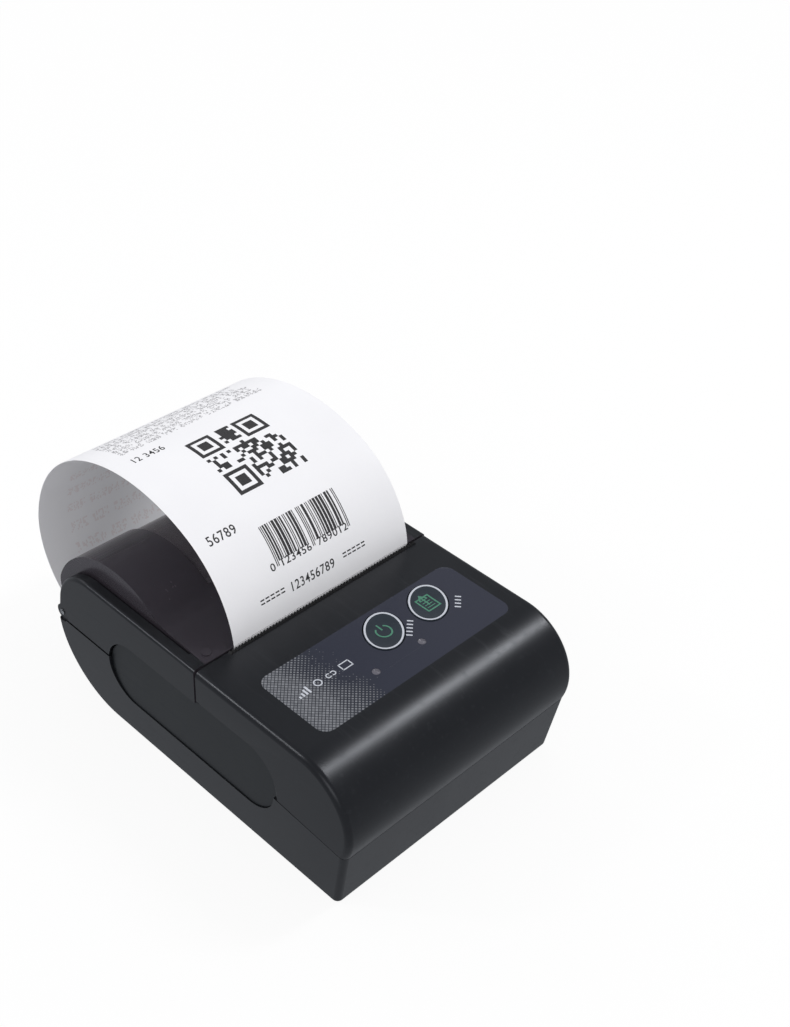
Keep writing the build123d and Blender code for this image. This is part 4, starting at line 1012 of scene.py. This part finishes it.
powerSign = {
    "radius": 1.95 * mm,
    "wide": 0.42 * mm,
    "gap": 36,  # degrees to each side of the bar
    "bar": 1.7 * mm,
    "barOut": 0.5 * mm,
    "steps": 40,
}
feedSign = {
    "halfWidth": 2.0 * mm,
    "halfDepth": 2.25 * mm,
    "wide": 0.42 * mm,
    "lines": 4,
    "lineFrom": -0.6,  # in half widths
    "lineTo": 0.55,
    "lineWide": 0.6,  # of the frame's own width
    "firstLine": 0.9,
    "arrow": 1.25 * mm,
    "arrowOut": 0.6,
    "arrowWide": 0.8,
    "arrowFoot": 0.2,
}


def powerMark():
    form = bmesh.new()
    first, last = 90 + powerSign["gap"], 450 - powerSign["gap"]
    arcStroke(form, powerSign["radius"], powerSign["wide"], first, last, powerSign["steps"])
    top = powerSign["radius"] + powerSign["barOut"]
    stroke(form, (0, top - powerSign["bar"]), (0, top), powerSign["wide"])
    return signPiece("powerSign", form, "power_key")


def feedMark():
    # A sheet with lines on it and an arrow that leaves it
    form = bmesh.new()
    x, y, wide = feedSign["halfWidth"], feedSign["halfDepth"], feedSign["wide"]
    corners = [(-x, y), (-x, -y), (x, -y), (x, y), (-x, y)]
    for start, end in zip(corners, corners[1:]):
        stroke(form, start, end, wide)
    left, right = x * feedSign["lineFrom"], x * feedSign["lineTo"]
    for line in range(feedSign["lines"]):
        height = y - (line + feedSign["firstLine"]) * 2 * y / (feedSign["lines"] + 1)
        stroke(form, (left, height), (right, height), wide * feedSign["lineWide"])
    arrow = feedSign["arrow"]
    tip = y + arrow * feedSign["arrowOut"]
    stroke(form, (0, -y * feedSign["arrowFoot"]), (0, tip), wide)
    for side in (-1, 1):
        stroke(form, (side * arrow * feedSign["arrowWide"], tip - arrow), (0, tip), wide)
    return signPiece("feedSign", form, "feed_key")


for key in keyForm["spots"]:
    keyCap(key)
powerMark()
feedMark()
print("keys made")

# Small marks on the label: ticks beside the keys and a row of plain signs, all in mm
labelMarks = {
    "lift": 0.012,
    "wall": 0.02,
    "tick": (0.42, 1.5),  # across and along
    "tickTurn": 42,
    "tickPitch": 1.25,
    "ticks": [(7.0, -26.8, 5), (22.9, -27.6, 4)],  # where each row starts, and how many
    "risingFrom": (-25.6, -24.9),
    "risingStep": (0.95, 0.28),
    "risingWide": 0.5,
    "risingTall": (0.7, 1.26, 1.82, 2.38),
    "arcs": [  # radius, width, first and last angle, steps, middle: a ring and two open links
        (0.95, 0.3, 0, 360, 32, -19.6),
        (0.6, 0.28, 40, 320, 24, -16.3),
        (0.6, 0.28, 220, 500, 24, -14.9),
    ],
    "middleRow": -24.0,
    "frame": [  # middle, across and along of each side of a small frame
        (-11.0, -23.05, 3.2, 0.3),
        (-11.0, -24.95, 3.2, 0.3),
        (-12.45, -24.0, 0.3, 1.9),
        (-9.55, -24.0, 0.3, 1.9),
    ],
}


def labelPrint():
    low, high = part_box("control_label")
    top = high.z + labelMarks["lift"] * mm
    form = bmesh.new()

    def bar(x, y, across, along, turn=0):
        size = Matrix.Diagonal((across * mm, along * mm, labelMarks["wall"] * mm, 1))
        at = Matrix.Translation((x * mm, y * mm, top)) @ Matrix.Rotation(radians(turn), 4, "Z")
        bmesh.ops.create_cube(form, size=1.0, matrix=at @ size)

    turn = labelMarks["tickTurn"]
    for startX, startY, count in labelMarks["ticks"]:
        for tick in range(count):
            reach = tick * labelMarks["tickPitch"]
            x, y = startX + reach * cos(radians(turn)), startY + reach * sin(radians(turn))
            bar(x, y, *labelMarks["tick"], turn)
    for number, tall in enumerate(labelMarks["risingTall"]):
        startX, startY = labelMarks["risingFrom"]
        stepX, stepY = labelMarks["risingStep"]
        bar(startX + number * stepX, startY + number * stepY, labelMarks["risingWide"], tall)
    for side in labelMarks["frame"]:
        bar(*side)
    signs = bmesh.new()
    for radius, wide, first, last, steps, x in labelMarks["arcs"]:
        centre = (x * mm, labelMarks["middleRow"] * mm)
        arcStroke(signs, radius * mm, wide * mm, first, last, steps, centre)
    bmesh.ops.translate(signs, verts=signs.verts, vec=(0, 0, top))
    joined = bpy.data.meshes.new("signs")
    signs.to_mesh(joined)
    signs.free()
    form.from_mesh(joined)
    bpy.data.meshes.remove(joined)
    bmesh.ops.recalc_face_normals(form, faces=form.faces)
    return makePiece("labelPrint", form, [whiteInk], "case")


labelPrint()
print("label printed")

# Floor, light and camera
stageForm = {
    "half": 2.2,
    "drop": 0.2 * mm,
    "colour": shade(244, 244, 245),
    "seen": 0.9,  # how much of it is plain white to the camera, and how bright it is in gloss
    "mirrored": 0.43,
}
plainWhite = (1, 1, 1, 1)
mirroredTint = (0.9, 0.94, 1.0, 1)  # what gloss shows of the floor and the sky is a little cool


def paleFloor():
    form = bmesh.new()
    bmesh.ops.create_grid(form, x_segments=1, y_segments=1, size=stageForm["half"])
    mesh = bpy.data.meshes.new("floor")
    form.to_mesh(mesh)
    form.free()
    floor = bpy.data.objects.new("floor", mesh)
    bpy.context.scene.collection.objects.link(floor)
    floor.location.z = -stageForm["drop"]
    constants = {"Base Color": stageForm["colour"], "Roughness": 0.9, "Specular IOR Level": 0.1}
    finish = Finish("paleFloor", constants)
    seen = finish.node("LightPath", result="Is Camera Ray") * stageForm["seen"]
    mirrored = finish.node("LightPath", result="Is Glossy Ray")
    through = finish.node("LightPath", result="Is Transmission Ray")
    lit = Signal(finish, finish.shader.outputs[0])
    layers = [(mirrored + through, stageForm["mirrored"], mirroredTint), (seen, 1.0, plainWhite)]
    for share, level, tint in layers:
        glow = finish.node("Emission", {}, {"Color": tint, "Strength": level})
        lit = finish.node("MixShader", {}, {0: share, 1: lit, 2: glow})
    finish.tree.links.new(lit.socket, finish.output.inputs[0])
    mesh.materials.append(finish.material)


worldLevels = [  # kind of ray, strength, colour
    (None, 0.64, plainWhite),
    ("Is Glossy Ray", 0.37, mirroredTint),
    ("Is Transmission Ray", 0.7, plainWhite),
    ("Is Camera Ray", 1.0, plainWhite),
]


def studioWorld():
    # White to the camera, dimmer in gloss, and soft where it only lights
    world = bpy.data.worlds.new("studio")
    world.use_nodes = True
    bpy.context.scene.world = world
    tree = world.node_tree
    tree.nodes.clear()
    rays = tree.nodes.new("ShaderNodeLightPath")
    output = tree.nodes.new("ShaderNodeOutputWorld")
    lit = None
    for ray, level, tint in worldLevels:
        sky = tree.nodes.new("ShaderNodeBackground")
        sky.inputs["Color"].default_value = tint
        sky.inputs["Strength"].default_value = level
        if ray:
            mixed = tree.nodes.new("ShaderNodeMixShader")
            tree.links.new(rays.outputs[ray], mixed.inputs[0])
            tree.links.new(lit, mixed.inputs[1])
            tree.links.new(sky.outputs[0], mixed.inputs[2])
            lit = mixed.outputs[0]
        else:
            lit = sky.outputs[0]
    tree.links.new(lit, output.inputs[0])


softBoxes = [  # name, place, aim, width and depth in metres, power in watts
    ("overheadStrip", (0.586, -0.262, 0.88), (0.0, -0.043, 0.038), 0.12, 0.34, 3.6),
    ("leftFill", (-0.75, -0.5, 0.55), (0.0, 0.0, 0.02), 0.6, 0.5, 1.6),
    ("backRim", (-0.2, 0.95, 0.6), (0.0, 0.0, 0.03), 0.8, 0.3, 0.9),
    ("domeGlow", (0.7, 0.88, 0.42), (0.0, 0.03, 0.045), 0.5, 0.26, 0.8),
    ("edgeGlint", (-0.6, 0.54, 0.62), (-0.03, 0.0, 0.038), 0.1, 0.14, 1.5),
]


def addSoftBoxes():
    for name, place, aim, width, depth, power in softBoxes:
        light = bpy.data.lights.new(name, "AREA")
        light.shape = "RECTANGLE"
        light.size = width
        light.size_y = depth
        light.energy = power
        lamp = bpy.data.objects.new(name, light)
        lamp.location = place
        lamp.rotation_euler = (Vector(aim) - Vector(place)).to_track_quat("-Z", "Y").to_euler()
        bpy.context.scene.collection.objects.link(lamp)


photoCamera = {
    "place": (-184.9 * mm, -194.1 * mm, 267.8 * mm),
    "right": (0.7009, -0.7116, 0.0491),
    "up": (0.4038, 0.4526, 0.7952),
    "forward": (0.5880, 0.5375, -0.6045),
    "lens": 51.23,
    "sensor": 36,
    "nearest": 0.01,
    "shift": (3.8 / 1027, -0.6 / 1027),  # in shares of the picture's height
}


def addCamera():
    lens = bpy.data.cameras.new("photoCamera")
    lens.lens = photoCamera["lens"]
    lens.sensor_width = photoCamera["sensor"]
    lens.clip_start = photoCamera["nearest"]
    lens.shift_x, lens.shift_y = photoCamera["shift"]
    camera = bpy.data.objects.new("photoCamera", lens)
    back = -Vector(photoCamera["forward"])
    axes = Matrix((photoCamera["right"], photoCamera["up"], back)).transposed()
    camera.matrix_world = Matrix.Translation(photoCamera["place"]) @ axes.to_4x4()
    bpy.context.scene.collection.objects.link(camera)
    bpy.context.scene.camera = camera


paleFloor()
studioWorld()
addSoftBoxes()
addCamera()
bpy.context.scene.view_settings.view_transform = "Standard"
print("studio ready")
